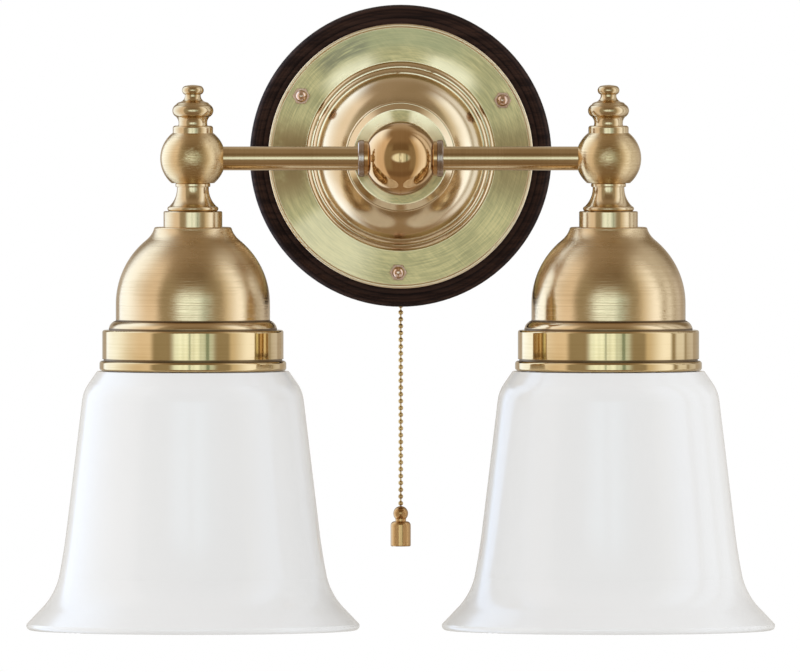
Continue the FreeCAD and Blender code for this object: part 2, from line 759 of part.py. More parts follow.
def hub_ball():
    """Hollow brass ball with a flat threaded boss towards each arm and the stem."""
    body = new_body("hub_ball", "0", "-dim.arm_reach")
    boss_foot = "sqrt(dim.hub_radius ^ 2 - dim.hub_boss_radius ^ 2)"
    bore_end = f"sqrt(dim.hub_cavity_radius ^ 2 - ({THREAD_HOLE}) ^ 2)"
    turned_on_x(
        body,
        to("dim.hub_boss_reach", THREAD_HOLE),
        to("dim.hub_boss_reach", "dim.hub_boss_radius"),
        to(boss_foot, "dim.hub_boss_radius"),
        left(f"-({boss_foot})", "dim.hub_boss_radius", "dim.hub_radius"),
        to("-dim.hub_boss_reach", "dim.hub_boss_radius"),
        to("-dim.hub_boss_reach", THREAD_HOLE),
        to(f"-({bore_end})", THREAD_HOLE),
        right(bore_end, THREAD_HOLE, "dim.hub_cavity_radius"))
    back_boss = new_sketch(body, "XZ_Plane", "-dim.hub_boss_reach")
    draw_circle(back_boss, "dim.hub_boss_radius")
    draw_circle(back_boss, THREAD_HOLE)
    pad(body, back_boss, "dim.hub_boss_reach - dim.hub_cavity_radius")
    outside = "dim.hub_radius + dim.hub_boss_reach"
    back_bore = new_sketch(body, "XZ_Plane", f"-({outside})")
    draw_circle(back_bore, THREAD_HOLE)
    pocket(body, back_bore, outside, reverse=True)


def arm_tube(side, sign):
    """Brass tube with a threaded spigot in the hub and a plain end in the end ball's socket."""
    body = new_body(f"{side}_arm_tube", "0", "-dim.arm_reach")
    if sign < 0:
        rotation = FreeCAD.Rotation(FreeCAD.Vector(0, 0, 1), 180)
        body.Placement = FreeCAD.Placement(body.Placement.Base, rotation)
    tip = "dim.hub_boss_reach - dim.hub_thread_length"
    shoulder = "dim.hub_boss_reach + dim.hub_collar_width"
    end = "dim.lamp_offset - dim.arm_socket_floor"
    turned_on_x(
        body,
        to(tip, "dim.wire_bore"),
        to(end, "dim.wire_bore"),
        to(end, "dim.arm_radius"),
        to(shoulder, "dim.arm_radius"),
        to(shoulder, "dim.thread_radius"),
        to(tip, "dim.thread_radius"))


def lamp_body(side, sign, piece):
    """A body of one lamp. Its own origin is where the lamp's axis meets the arm's."""
    offset = "dim.lamp_offset" if sign > 0 else "-dim.lamp_offset"
    return new_body(f"{side}_{piece}", offset, "-dim.arm_reach")


def end_ball(side, sign):
    """Turned ball with a flat above and below, a bore for the nipple and a socket for the arm."""
    body = lamp_body(side, sign, "end_ball")
    turned_on_z(
        body,
        to(THREAD_HOLE, "-dim.ball_bottom_flat"),
        to("sqrt(dim.ball_radius ^ 2 - dim.ball_bottom_flat ^ 2)", "-dim.ball_bottom_flat"),
        left("sqrt(dim.ball_radius ^ 2 - dim.ball_top_flat ^ 2)", "dim.ball_top_flat",
             "dim.ball_radius"),
        to(THREAD_HOLE, "dim.ball_top_flat"))
    towards_hub = "dim.arm_socket_floor" if sign < 0 else "-dim.arm_socket_floor"
    socket = new_sketch(body, "YZ_Plane", towards_hub)
    draw_circle(socket, "dim.arm_radius + dim.socket_clearance")
    pocket(body, socket, "dim.ball_radius - dim.arm_socket_floor", reverse=sign < 0)
    wire_way = new_sketch(body, "YZ_Plane")
    draw_circle(wire_way, "dim.wire_bore")
    pocket(body, wire_way, "dim.arm_socket_floor", reverse=sign < 0)


def finial(side, sign):
    """Turned finial: a flat base ring, a waist, an onion bulb, a thin neck and a button."""
    body = lamp_body(side, sign, "finial")
    base = "dim.ball_top_flat"
    base_top = f"{base} + dim.finial_base_height"
    waist_top = f"{base_top} + dim.finial_waist_height"
    bulb_top = f"{waist_top} + dim.finial_bulb_height"
    shoulder = f"{bulb_top} + dim.finial_shoulder_height"
    neck = f"{shoulder} + dim.finial_neck_rise"
    button = f"{neck} + dim.finial_neck_length"
    button_top = f"{button} + dim.finial_button_height"
    waist_arc = bowed("dim.finial_waist_top_radius - dim.finial_waist_radius",
                      "dim.finial_waist_height", "dim.finial_waist_hollow")
    bulb_arc = bowed("0", "dim.finial_bulb_height", "dim.finial_bulb_swell")
    shoulder_arc = bowed("dim.finial_waist_top_radius - dim.finial_shoulder_radius",
                         "dim.finial_shoulder_height", "dim.finial_shoulder_swell")
    neck_arc = bowed("dim.finial_shoulder_radius - dim.finial_neck_radius",
                     "dim.finial_neck_rise", "dim.finial_neck_hollow")
    button_arc = bowed("dim.finial_neck_radius - dim.finial_button_top_radius",
                       "dim.finial_button_height", "dim.finial_button_swell")
    crown_arc = bowed("2 * dim.finial_button_top_radius", "0", "dim.finial_crown_height")
    turned_on_z(
        body,
        to("0", f"{base} + dim.finial_bore_depth"),
        to(THREAD_HOLE, f"{base} + dim.finial_bore_depth"),
        to(THREAD_HOLE, base),
        to("dim.finial_base_radius", base),
        to("dim.finial_base_radius", f"{base_top} - dim.finial_base_round"),
        left("dim.finial_base_radius - dim.finial_base_round", base_top,
             "dim.finial_base_round"),
        to("dim.finial_waist_radius", base_top),
        right("dim.finial_waist_top_radius", waist_top, waist_arc),
        left("dim.finial_waist_top_radius", bulb_top, bulb_arc),
        left("dim.finial_shoulder_radius", shoulder, shoulder_arc),
        right("dim.finial_neck_radius", neck, neck_arc),
        to("dim.finial_neck_radius", button),
        left("dim.finial_button_top_radius", button_top, button_arc),
        left("0", f"{button_top} + dim.finial_crown_height", crown_arc))


def nipple(side, sign):
    """Hollow threaded rod from the finial to the lampholder, with a window for the wire."""
    body = lamp_body(side, sign, "nipple")
    top = "dim.ball_top_flat + dim.nipple_rise"
    bottom = f"{HOLDER_TOP} - dim.nipple_drop"
    turned_on_z(
        body,
        to("dim.nipple_bore", bottom),
        to("dim.thread_radius", bottom),
        to("dim.thread_radius", top),
        to("dim.nipple_bore", top))
    window = new_sketch(body, "YZ_Plane")
    draw_circle(window, "dim.nipple_window")
    pocket(body, window, "dim.thread_radius + dim.thread_clearance", reverse=sign < 0)


def neck(side, sign):
    """Turned trumpet under the ball, with a bead above and a rounded lip below."""
    body = lamp_body(side, sign, "neck")
    bead = "dim.neck_bead_radius"
    bead_round = "dim.neck_bead_round"
    lip_arc = bowed("0", "dim.neck_lip_height", "dim.neck_lip_swell")
    flare_arc = bowed("dim.neck_flare_radius - dim.neck_radius",
                      f"dim.neck_length - {bead_round}", "dim.neck_flare_hollow")
    turned_on_z(
        body,
        to(THREAD_HOLE, NECK_BOTTOM),
        to("dim.neck_flare_radius", NECK_BOTTOM),
        left("dim.neck_flare_radius", NECK_FLARE, lip_arc),
        right("dim.neck_radius", f"{NECK_SHOULDER} - {bead_round}", flare_arc),
        to("dim.neck_radius", NECK_SHOULDER),
        to(f"{bead} - {bead_round}", NECK_SHOULDER),
        left(bead, f"{NECK_SHOULDER} + {bead_round}", bead_round),
        to(bead, f"{NECK_TOP} - {bead_round}"),
        left(f"{bead} - {bead_round}", NECK_TOP, bead_round),
        to(THREAD_HOLE, NECK_TOP))


def collar(side, sign):
    """Plain turned collar between the neck and the dome."""
    body = lamp_body(side, sign, "collar")
    bevel = "dim.collar_chamfer"
    turned_on_z(
        body,
        to(THREAD_HOLE, COLLAR_BOTTOM),
        to("dim.collar_radius", COLLAR_BOTTOM),
        to("dim.collar_radius", f"{NECK_BOTTOM} - {bevel}"),
        to(f"dim.collar_radius - {bevel}", NECK_BOTTOM),
        to(THREAD_HOLE, NECK_BOTTOM))


def dome(side, sign):
    """Spun sheet dome: flat top, hollow waist, long round shoulder and a roll at its foot."""
    body = lamp_body(side, sign, "dome")
    sheet = "dim.dome_sheet"
    waist = f"{COLLAR_BOTTOM} - dim.dome_waist_drop"
    side_top = f"{COLLAR_BOTTOM} - dim.dome_side_drop"
    wall_bottom = f"{COLLAR_BOTTOM} - dim.dome_wall_drop"
    outer_width = "(dim.dome_side_radius - dim.dome_waist_radius)"
    outer_height = "(dim.dome_side_drop - dim.dome_waist_drop)"
    shoulder_arc = f"({outer_width} ^ 2 + {outer_height} ^ 2) / (2 * {outer_width})"
    top_edge = "dim.dome_top_radius + dim.dome_top_round"
    waist_arc = bowed(f"dim.dome_waist_radius - ({top_edge})",
                      "dim.dome_waist_drop - dim.dome_top_round", "dim.dome_waist_hollow")
    roll_arc = bowed("dim.dome_roll", "dim.dome_roll_height", "dim.dome_roll_hollow")
    turned_on_z(
        body,
        to(THREAD_HOLE, HOLDER_TOP),
        to(f"dim.dome_top_radius - {sheet}", HOLDER_TOP),
        left(f"dim.dome_waist_radius - {sheet}", f"{waist} - {sheet}",
             f"{waist_arc} + {sheet}"),
        right(f"dim.dome_side_radius - {sheet}", side_top, f"{shoulder_arc} - {sheet}"),
        to(f"dim.dome_side_radius - {sheet}", wall_bottom),
        right(f"dim.dome_side_radius + dim.dome_roll - {sheet}", DOME_BOTTOM, roll_arc),
        to("dim.dome_side_radius + dim.dome_roll", DOME_BOTTOM),
        left("dim.dome_side_radius", wall_bottom, roll_arc),
        to("dim.dome_side_radius", side_top),
        left("dim.dome_waist_radius", waist, shoulder_arc),
        right(top_edge, f"{COLLAR_BOTTOM} - dim.dome_top_round", waist_arc),
        left("dim.dome_top_radius", COLLAR_BOTTOM, "dim.dome_top_round"),
        to(THREAD_HOLE, COLLAR_BOTTOM))


def shade_ring(side, sign):
    """Turned ring that holds the glass: a plate inside, a plain band, a groove and a round lip."""
    body = lamp_body(side, sign, "shade_ring")
    band = "dim.ring_band_radius"
    lip = "dim.ring_band_radius + dim.ring_lip_step"
    turned_on_z(
        body,
        to("dim.ring_plate_radius", RING_PLATE_BOTTOM),
        to(RING_BORE, RING_PLATE_BOTTOM),
        to(RING_BORE, RING_BOTTOM),
        to(f"{lip} - dim.ring_lip_round", RING_BOTTOM),
        left(lip, f"{RING_BOTTOM} + dim.ring_lip_round", "dim.ring_lip_round"),
        to(lip, f"{RING_LIP_TOP} - dim.ring_lip_round"),
        left(f"{lip} - dim.ring_lip_round", RING_LIP_TOP, "dim.ring_lip_round"),
        to(f"{band} - dim.ring_groove_depth", RING_LIP_TOP),
        to(f"{band} - dim.ring_groove_depth", RING_BAND_BOTTOM),
        to(band, RING_BAND_BOTTOM),
        to(band, f"{DOME_BOTTOM} - dim.ring_band_round"),
        left(f"{band} - dim.ring_band_round", DOME_BOTTOM, "dim.ring_band_round"),
        to("dim.ring_plate_radius", DOME_BOTTOM))


def shade_gasket(side, sign):
    """Flat rubber ring between the shade ring's plate and the glass."""
    body = lamp_body(side, sign, "shade_gasket")
    outer = f"{RING_BORE} - dim.glass_neck_clearance"
    turned_on_z(
        body,
        to(f"{outer} - dim.gasket_width", GLASS_TOP),
        to(outer, GLASS_TOP),
        to(outer, RING_PLATE_BOTTOM),
        to(f"{outer} - dim.gasket_width", RING_PLATE_BOTTOM))


def glass_shade(side, sign):
    """Blown opal bell: screw neck, sloping shoulder, long cone and a flared rim with a bead."""
    body = lamp_body(side, sign, "glass_shade")
    wall = "dim.glass_wall"
    neck_outer = f"{RING_BORE} - dim.glass_neck_clearance"
    neck_inner = f"{neck_outer} - {wall}"
    ledge = (f"{neck_outer} + dim.glass_ledge_width", GLASS_SHOULDER)
    spots = [ledge]
    for stretch in ("slope", "turn", "cone", "flare", "bell", "lip"):
        radius, height = spots[-1]
        spots.append((f"{radius} + dim.glass_{stretch}_width",
                      f"{height} - dim.glass_{stretch}_height"))
    slope_end, turn_end, cone_end, flare_end, bell_end, lip_end = spots[1:]
    turn_arc, flare_arc, bell_arc = [
        bowed(f"dim.glass_{stretch}_width", f"dim.glass_{stretch}_height",
              f"dim.glass_{stretch}_{bow}")
        for stretch, bow in (("turn", "swell"), ("flare", "hollow"), ("bell", "hollow"))]
    slope = "atan(dim.glass_slope_height / dim.glass_slope_width)"
    bell_slope = "dim.glass_bell_slope"
    lip_step = "dim.glass_lip_step"
    turned_on_z(
        body,
        to(neck_outer, GLASS_TOP),
        to(neck_inner, GLASS_TOP),
        to(neck_inner, f"{GLASS_SHOULDER} - dim.glass_neck_inner_drop"),
        to(f"{slope_end[0]} - {wall} * sin({slope})", f"{slope_end[1]} - {wall} * cos({slope})"),
        right(f"{turn_end[0]} - {wall}", turn_end[1], f"{turn_arc} - {wall}"),
        to(f"{cone_end[0]} - {wall}", cone_end[1]),
        left(f"{flare_end[0]} - {wall}", flare_end[1], f"{flare_arc} + {wall}"),
        left(f"{bell_end[0]} - {wall} * sin({bell_slope})",
             f"{bell_end[1]} - {wall} * cos({bell_slope})", f"{bell_arc} + {wall}"),
        to(f"{lip_end[0]} - {lip_step}", f"{lip_end[1]} - {lip_step}"),
        left(*lip_end, bowed(lip_step, lip_step, "dim.glass_lip_swell")),
        to(*bell_end),
        right(*flare_end, bell_arc),
        right(*cone_end, flare_arc),
        to(*turn_end),
        left(*slope_end, turn_arc),
        to(*ledge),
        to(neck_outer, GLASS_SHOULDER))


def lampholder_cap(side, sign):
    """Moulded cap screwed on the nipple, with a round shoulder and a boss inside."""
    body = lamp_body(side, sign, "lampholder_cap")
    wall = "dim.holder_cap_wall"
    boss = f"{THREAD_HOLE} + dim.holder_boss_wall"
    crown = f"{HOLDER_RADIUS} - dim.holder_cap_round"
    turned_on_z(
        body,
        to(THREAD_HOLE, HOLDER_TOP),
        to(THREAD_HOLE, f"{HOLDER_TOP} - dim.nipple_drop"),
        to(boss, f"{HOLDER_TOP} - dim.nipple_drop"),
        to(boss, f"{HOLDER_TOP} - dim.holder_cap_crown"),
        to(crown, f"{HOLDER_TOP} - dim.holder_cap_crown"),
        right(f"{HOLDER_RADIUS} - {wall}", f"{HOLDER_TOP} - dim.holder_cap_round - {wall}",
              "dim.holder_cap_round"),
        to(f"{HOLDER_RADIUS} - {wall}", HOLDER_JOINT),
        to(HOLDER_RADIUS, HOLDER_JOINT),
        to(HOLDER_RADIUS, f"{HOLDER_TOP} - dim.holder_cap_round"),
        left(crown, HOLDER_TOP, "dim.holder_cap_round"))


def lampholder_skirt(side, sign):
    """Moulded skirt that screws to the cap and traps the insert on a ledge."""
    body = lamp_body(side, sign, "lampholder_skirt")
    bottom = f"{HOLDER_JOINT} - dim.holder_skirt_height"
    turned_on_z(
        body,
        to(SKIRT_BORE, HOLDER_JOINT),
        to(SKIRT_BORE, INSERT_BOTTOM),
        to(LEDGE_RADIUS, INSERT_BOTTOM),
        to(LEDGE_RADIUS, bottom),
        to(SKIRT_RADIUS, bottom),
        to(SKIRT_RADIUS, HOLDER_JOINT))


def lampholder_insert(side, sign):
    """Ceramic disc that carries the screw shell and the centre contact."""
    body = lamp_body(side, sign, "lampholder_insert")
    outer = f"{SKIRT_BORE} - dim.insert_clearance"
    turned_on_z(
        body,
        to("0", INSERT_BOTTOM),
        to(outer, INSERT_BOTTOM),
        to(outer, HOLDER_JOINT),
        to("0", HOLDER_JOINT))


def screw_shell(side, sign):
    """Thin brass shell that the lamp screws into, with a narrower neck round the contact."""
    body = lamp_body(side, sign, "screw_shell")
    sheet = "dim.screw_shell_sheet"
    neck_inner = "dim.screw_shell_neck"
    shoulder = f"{INSERT_BOTTOM} - dim.screw_shell_neck_height"
    bottom = f"{INSERT_BOTTOM} - dim.screw_shell_height"
    turned_on_z(
        body,
        to("dim.screw_shell_hole", INSERT_BOTTOM),
        to("dim.screw_shell_hole", f"{INSERT_BOTTOM} - {sheet}"),
        to(neck_inner, f"{INSERT_BOTTOM} - {sheet}"),
        to(neck_inner, f"{shoulder} - {sheet}"),
        to("dim.lamp_thread_radius", f"{shoulder} - {sheet}"),
        to("dim.lamp_thread_radius", bottom),
        to(SHELL_RADIUS, bottom),
        to(SHELL_RADIUS, shoulder),
        to(f"{neck_inner} + {sheet}", shoulder),
        to(f"{neck_inner} + {sheet}", INSERT_BOTTOM))


def centre_contact(side, sign):
    """Round brass contact with a raised tip."""
    body = lamp_body(side, sign, "centre_contact")
    base = f"{INSERT_BOTTOM} - dim.contact_height"
    tip = f"{base} - dim.contact_tip_height"
    turned_on_z(
        body,
        to("0", INSERT_BOTTOM),
        to("0", tip),
        to("dim.contact_tip_radius", tip),
        to("dim.contact_tip_radius", base),
        to("dim.contact_radius", base),
        to("dim.contact_radius", INSERT_BOTTOM))


def rounded_path(corners, radii):
    """Straight runs joined by tangent arcs of the given radii."""
    edges = []
    start = corners[0]
    for before, corner, after, radius in zip(corners, corners[1:], corners[2:], radii):
        incoming = (before - corner).normalize()
        outgoing = (after - corner).normalize()
        half_angle = incoming.getAngle(outgoing) / 2
        setback = radius / math.tan(half_angle)
        first = corner + incoming * setback
        last = corner + outgoing * setback
        bisector = (incoming + outgoing).normalize()
        middle = corner + bisector * (radius / math.sin(half_angle) - radius)
        edges.append(Part.LineSegment(start, first).toShape())
        edges.append(Part.Arc(first, middle, last).toShape())
        start = last
    edges.append(Part.LineSegment(start, corners[-1]).toShape())
    return Part.Wire(edges)


def wire_along(label, corners, radii):
    """A round wire along a path, its length checked against its volume."""
    path = rounded_path(corners, radii)
    direction = (corners[1] - corners[0]).normalize()
    radius = number("dim.wire_radius")
    section = Part.Wire([Part.Circle(corners[0], direction, radius).toShape()])
    solid = path.makePipeShell([section], True, False)
    expected = math.pi * radius ** 2 * path.Length
    if abs(solid.Volume / expected - 1) > 0.01:
        raise RuntimeError(f"{label} has the wrong volume")
    feature = DOCUMENT.addObject("Part::Feature", label)
    feature.Label = label
    feature.Shape = solid
    feature.Placement = FreeCAD.Placement()
    NODES.append(feature)


def lamp_wire(side, sign):
    """Flex from the terminal block through the stem, the hub and the arm to the lampholder."""
    start_x = sign * number("dim.lamp_wire_start")
    stem_x = sign * number("dim.wire_spacing / 2")
    lamp_x = sign * number("dim.lamp_offset")
    plane = -number("dim.wire_plane")
    arm_y = -number("dim.arm_reach")
    bend_z = number("dim.block_level - dim.lamp_wire_drop")
    point = FreeCAD.Vector
    corners = [
        point(start_x, plane, number("dim.block_level")),
        point(start_x, plane, bend_z),
        point(stem_x, number(WOOD_FACE), 0),
        point(stem_x, arm_y, 0),
        point(lamp_x, arm_y, 0),
        point(lamp_x, arm_y, number(HOLDER_JOINT)),
    ]
    bend = number("dim.wire_bend")
    wire_along(f"{side}_lamp_wire", corners, [bend, bend, number("dim.wire_entry_bend"), bend])


def switch_wire():
    """Flex from the terminal block down to the pull switch, with a little slack."""
    plane = -number("dim.wire_plane")
    top = number("dim.block_level")
    bottom = number(SWITCH_TOP)
    lead = (top - bottom) / 8
    point = FreeCAD.Vector
    corners = [
        point(0, plane, top),
        point(0, plane, top - lead),
        point(number("dim.switch_wire_slack"), plane, (top + bottom) / 2),
        point(0, plane, bottom + lead),
        point(0, plane, bottom),
    ]
    bend = number("dim.switch_wire_bend")
    wire_along("switch_wire", corners, [bend, bend, bend])


def block_spots():
    """The six screw places of the terminal block."""
    spots = []
    for column in (-1, 0, 1):
        for row in (-1, 1):
            x = f"{column} * dim.block_pole_pitch" if column else "0"
            z = f"dim.block_level + dim.block_height / 2 + {row} * dim.block_row_pitch / 2"
            spots.append((x, z))
    return spots


def terminal_block():
    """Moulded three-pole block on the recess floor, with six screw wells."""
    body = new_body("terminal_block")
    outline = new_sketch(body, "XZ_Plane", "dim.recess_depth")
    rectangle(outline, "dim.block_width / 2", "dim.block_level",
              "dim.block_level + dim.block_height")
    pad(body, outline, "dim.block_depth", reverse=True)
    wells = new_sketch(body, "XZ_Plane", "dim.recess_depth - dim.block_depth")
    for x, z in block_spots():
        draw_circle(wells, "dim.block_screw_radius + dim.block_screw_clearance", x, z)
    pocket(body, wells, "dim.block_hole_depth", reverse=True)


def terminal_screws():
    """Six screws in the wells, one node."""
    body = new_body("terminal_screws")
    floor = "dim.recess_depth - dim.block_depth + dim.block_hole_depth"
    heads = new_sketch(body, "XZ_Plane", floor)
    for x, z in block_spots():
        draw_circle(heads, "dim.block_screw_radius", x, z)
    pad(body, heads, "dim.block_screw_length", reverse=True)


def switch_housing():
    """Moulded tray of the pull switch: open towards the wall, with a hole for the bush."""
    body = new_body("switch_housing")
    outline = new_sketch(body, "XZ_Plane", "dim.recess_depth")
    rectangle(outline, SWITCH_HALF, SWITCH_BOTTOM, SWITCH_TOP)
    pad(body, outline, SWITCH_DEPTH, reverse=True)
    inside = new_sketch(body, "XZ_Plane", f"dim.recess_depth - {SWITCH_DEPTH}")
    rectangle(inside, TRAY_HALF, SWITCH_FLOOR, f"{SWITCH_TOP} - dim.switch_wall")
    pocket(body, inside, f"{SWITCH_DEPTH} - dim.switch_wall", reverse=True)
    bush_hole = new_sketch(body, "XY_Plane", SWITCH_FLOOR)
    draw_circle(bush_hole, "dim.bush_radius + dim.bush_clearance", "0", f"-{CHAIN_PLANE}")
    pocket(body, bush_hole)


def switch_cover():
    """Flat cover on the switch's open side."""
    body = new_body("switch_cover")
    outline = new_sketch(body, "XZ_Plane", f"dim.recess_depth - {SWITCH_DEPTH}")
    rectangle(outline, SWITCH_HALF, SWITCH_BOTTOM, SWITCH_TOP)
    pad(body, outline, "dim.switch_cover", reverse=True)


def switch_pins():
    """The lever's pin and the rotor's pin, from the tray's floor to the cover, one node."""
    body = new_body("switch_pins")
    pins = new_sketch(body, "XZ_Plane", "dim.recess_depth - dim.switch_wall")
    draw_circle(pins, "dim.pin_radius", "-dim.lever_length", LEVER_PIVOT)
    draw_circle(pins, "dim.pin_radius", ROTOR_X, LEVER_PIVOT)
    pad(body, pins, f"{SWITCH_DEPTH} - dim.switch_wall", reverse=True)


def switch_lever():
    """Stamped lever: a round eye on its pin and a fork that takes the coupling's cross pin."""
    body = new_body("switch_lever", "-dim.lever_length", "0", LEVER_PIVOT)
    rise = "atan(dim.pull_travel / 2 / dim.lever_length)"
    rotation = FreeCAD.Rotation(FreeCAD.Vector(0, -1, 0), 1)
    body.Placement = FreeCAD.Placement(body.Placement.Base, rotation)
    body.setExpression(".Placement.Rotation.Angle", rise)
    front = f"-({LEVER_FRONT})"
    eye = "dim.lever_hub_radius"
    half = "dim.lever_width / 2"
    foot = f"sqrt({eye} ^ 2 - ({half}) ^ 2)"
    end = "sqrt(dim.lever_length ^ 2 + (dim.pull_travel / 2) ^ 2) + dim.lever_overhang"
    slot = "dim.fork_slot / 2"
    outline = new_sketch(body, "XZ_Plane", front)
    draw(
        outline,
        left(foot, f"-{half}", eye),
        to(end, f"-{half}"),
        to(end, f"-{slot}"),
        to("dim.fork_slot_start", f"-{slot}"),
        to("dim.fork_slot_start", slot),
        to(end, slot),
        to(end, half),
        to(foot, half),
        left(f"-{eye} * cos(30)", f"-{eye} * sin(30)", eye))
    draw_circle(outline, "dim.pin_radius + dim.pin_clearance")
    pad(body, outline, "dim.lever_thickness", reverse=True)


def switch_rotor():
    """Moulded rotor on its pin: four ratchet teeth and a round hub."""
    body = new_body("switch_rotor", ROTOR_X, "0", LEVER_PIVOT)
    front = f"-({LEVER_BACK}) - dim.rotor_front_gap"
    outline = new_sketch(body, "XZ_Plane", front)
    steps = []
    for turn in range(0, 360, 45):
        tip = "dim.rotor_radius"
        root = "(dim.rotor_radius - dim.rotor_tooth)"
        steps.append(to(f"{tip} * cos({turn})", f"{tip} * sin({turn})"))
        steps.append(to(f"{root} * cos({turn})", f"{root} * sin({turn})"))
    draw(outline, *steps[::-1])
    draw_circle(outline, "dim.pin_radius + dim.pin_clearance")
    pad(body, outline, "dim.rotor_thickness", reverse=True)


def switch_contacts():
    """Two brass contact strips on the tray's side wall, beside the rotor, one node."""
    body = new_body("switch_contacts")
    face = f"{TRAY_HALF} - dim.contact_strip_thickness"
    outline = new_sketch(body, "XZ_Plane", f"-({LEVER_BACK}) - dim.rotor_front_gap")
    for sign in ("-", "+"):
        middle = f"{LEVER_PIVOT} {sign} (dim.contact_strip_height + dim.contact_strip_gap) / 2"
        low = f"{middle} - dim.contact_strip_height / 2"
        high = f"{middle} + dim.contact_strip_height / 2"
        draw(outline, to(face, low), to(TRAY_HALF, low), to(TRAY_HALF, high), to(face, high))
    pad(body, outline, "dim.contact_strip_depth", reverse=True)


def arc_along(start, end, tangent):
    """The arc from start to end that leaves along a tangent."""
    half = (end - start) * 0.5
    chord = half.Length
    along = half * (1 / chord)
    across = tangent - along * tangent.dot(along)
    turn = math.atan2(across.Length, tangent.dot(along))
    middle = start + half + across.normalize() * (chord * math.tan(turn / 2))
    return Part.Arc(start, middle, end).toShape()


def coil_path(radius, pitch, turns):
    """A coil about Y as pairs of tangent arcs, one pair to each quarter turn."""
    edges = []
    quarters = round(turns * 4)
    flat = 2 * math.pi * radius
    slope = math.hypot(flat, pitch)
    for quarter in range(quarters):
        ends = []
        for step in (quarter, quarter + 1):
            angle = step * math.pi / 2
            place = FreeCAD.Vector(
                radius * math.cos(angle), pitch * step / 4, radius * math.sin(angle))
            heading = FreeCAD.Vector(
                -flat * math.sin(angle), pitch, flat * math.cos(angle)) * (1 / slope)
            ends.append((place, heading))
        (start, out), (end, back) = ends
        span = end - start
        both = span.dot(out + back)
        spread = 2 * (1 - out.dot(back))
        reach = (math.sqrt(both ** 2 + spread * span.dot(span)) - both) / spread
        joint = (start + end + (out - back) * reach) * 0.5
        edges.append(arc_along(start, joint, out))
        edges.append(arc_along(joint, end, (end - back * reach - joint).normalize()))
    return Part.Wire(edges)


def return_spring():
    """Coil spring round the lever's pin, between the lever and the cover."""
    radius = number("dim.spring_radius")
    wire = number("dim.spring_wire / 2")
    pitch = number("dim.spring_pitch")
    seat = number(f"{LEVER_BACK} + dim.lever_gap") + wire
    path = coil_path(radius, pitch, number("dim.spring_turns"))
    heading = FreeCAD.Vector(0, pitch, 2 * math.pi * radius)
    section = Part.Wire([Part.Circle(FreeCAD.Vector(radius, 0, 0), heading, wire).toShape()])
    feature = DOCUMENT.addObject("Part::Feature", "return_spring")
    feature.Label = "return_spring"
    feature.Shape = path.makePipeShell([section], True, False)
    place = FreeCAD.Vector(-number("dim.lever_length"), seat, number(LEVER_PIVOT))
    feature.Placement = FreeCAD.Placement(place, FreeCAD.Rotation())
    print(f"return_spring: least gap between its turns {pitch - wire * 2:.2f} mm")
    NODES.append(feature)


def chain_bush():
    """Brass tube with a flange let into the wood's lower edge: it guides the chain."""
    body = new_body("chain_bush", "0", f"-{CHAIN_PLANE}")
    turned_on_z(
        body,
        to("dim.bush_bore", SWITCH_FLOOR),
        to("dim.bush_bore", BUSH_BOTTOM),
        to("dim.bush_flange_radius", BUSH_BOTTOM),
        to("dim.bush_flange_radius", BUSH_SEAT),
        to("dim.bush_radius", BUSH_SEAT),
        to("dim.bush_radius", SWITCH_FLOOR))


def chain_coupling():
    """Small turned coupling at the chain's top, with a cross pin for the lever's fork."""
    body = new_body("chain_coupling", "0", f"-{CHAIN_PLANE}")
    turned_on_z(
        body,
        to("0", COUPLING_BOTTOM),
        to("dim.coupling_radius", COUPLING_BOTTOM),
        to("dim.coupling_radius", f"{CROSS_PIN} + dim.coupling_above_pin"),
        to("0", f"{CROSS_PIN} + dim.coupling_above_pin"))
    cross = new_sketch(body, "XZ_Plane")
    draw_circle(cross, "dim.cross_pin_radius", "0", CROSS_PIN)
    pad(body, cross, f"-({LEVER_FRONT}) - {CHAIN_PLANE}")


def bead_string(body, first, count):
    """A row of hollow beads on their links, down from the first bead's centre."""
    bead = "dim.bead_radius"
    wire = "dim.link_radius"
    foot = f"sqrt({bead} ^ 2 - {wire} ^ 2)"
    top = f"{first} + dim.bead_pitch - {LINK_REACH}"
    unit = turned_on_z(
        body,
        to("0", f"{first} - {bead}"),
        left(wire, f"{first} + {foot}", bead),
        to(wire, top),
        to("0", top))
    if count is None:
        return
    pattern = body.newObject("PartDesign::LinearPattern", f"{body.Name}_row")
    pattern.Originals = [unit]
    axis = next(item for item in body.Origin.OriginFeatures if item.Role == "Z_Axis")
    pattern.Direction = (axis, [""])
    pattern.Reversed = True
    pattern.setExpression("Length", f"({count} - 1) * dim.bead_pitch")
    pattern.setExpression("Occurrences", count)
    body.Tip = pattern


def pull_chain():
    """Ball chain in three lengths: through the bush, one link, and the free length."""
    inner = new_body("chain_inner", "0", f"-{CHAIN_PLANE}")
    bead_string(inner, FIRST_INNER_BEAD, INNER_BEADS)
    link = new_body("chain_link", "0", f"-{CHAIN_PLANE}")
    bead_string(link, LINK_BEAD, None)
    free = new_body("ball_chain", "0", f"-{CHAIN_PLANE}")
    bead_string(free, FIRST_FREE_BEAD, "dim.free_bead_count")


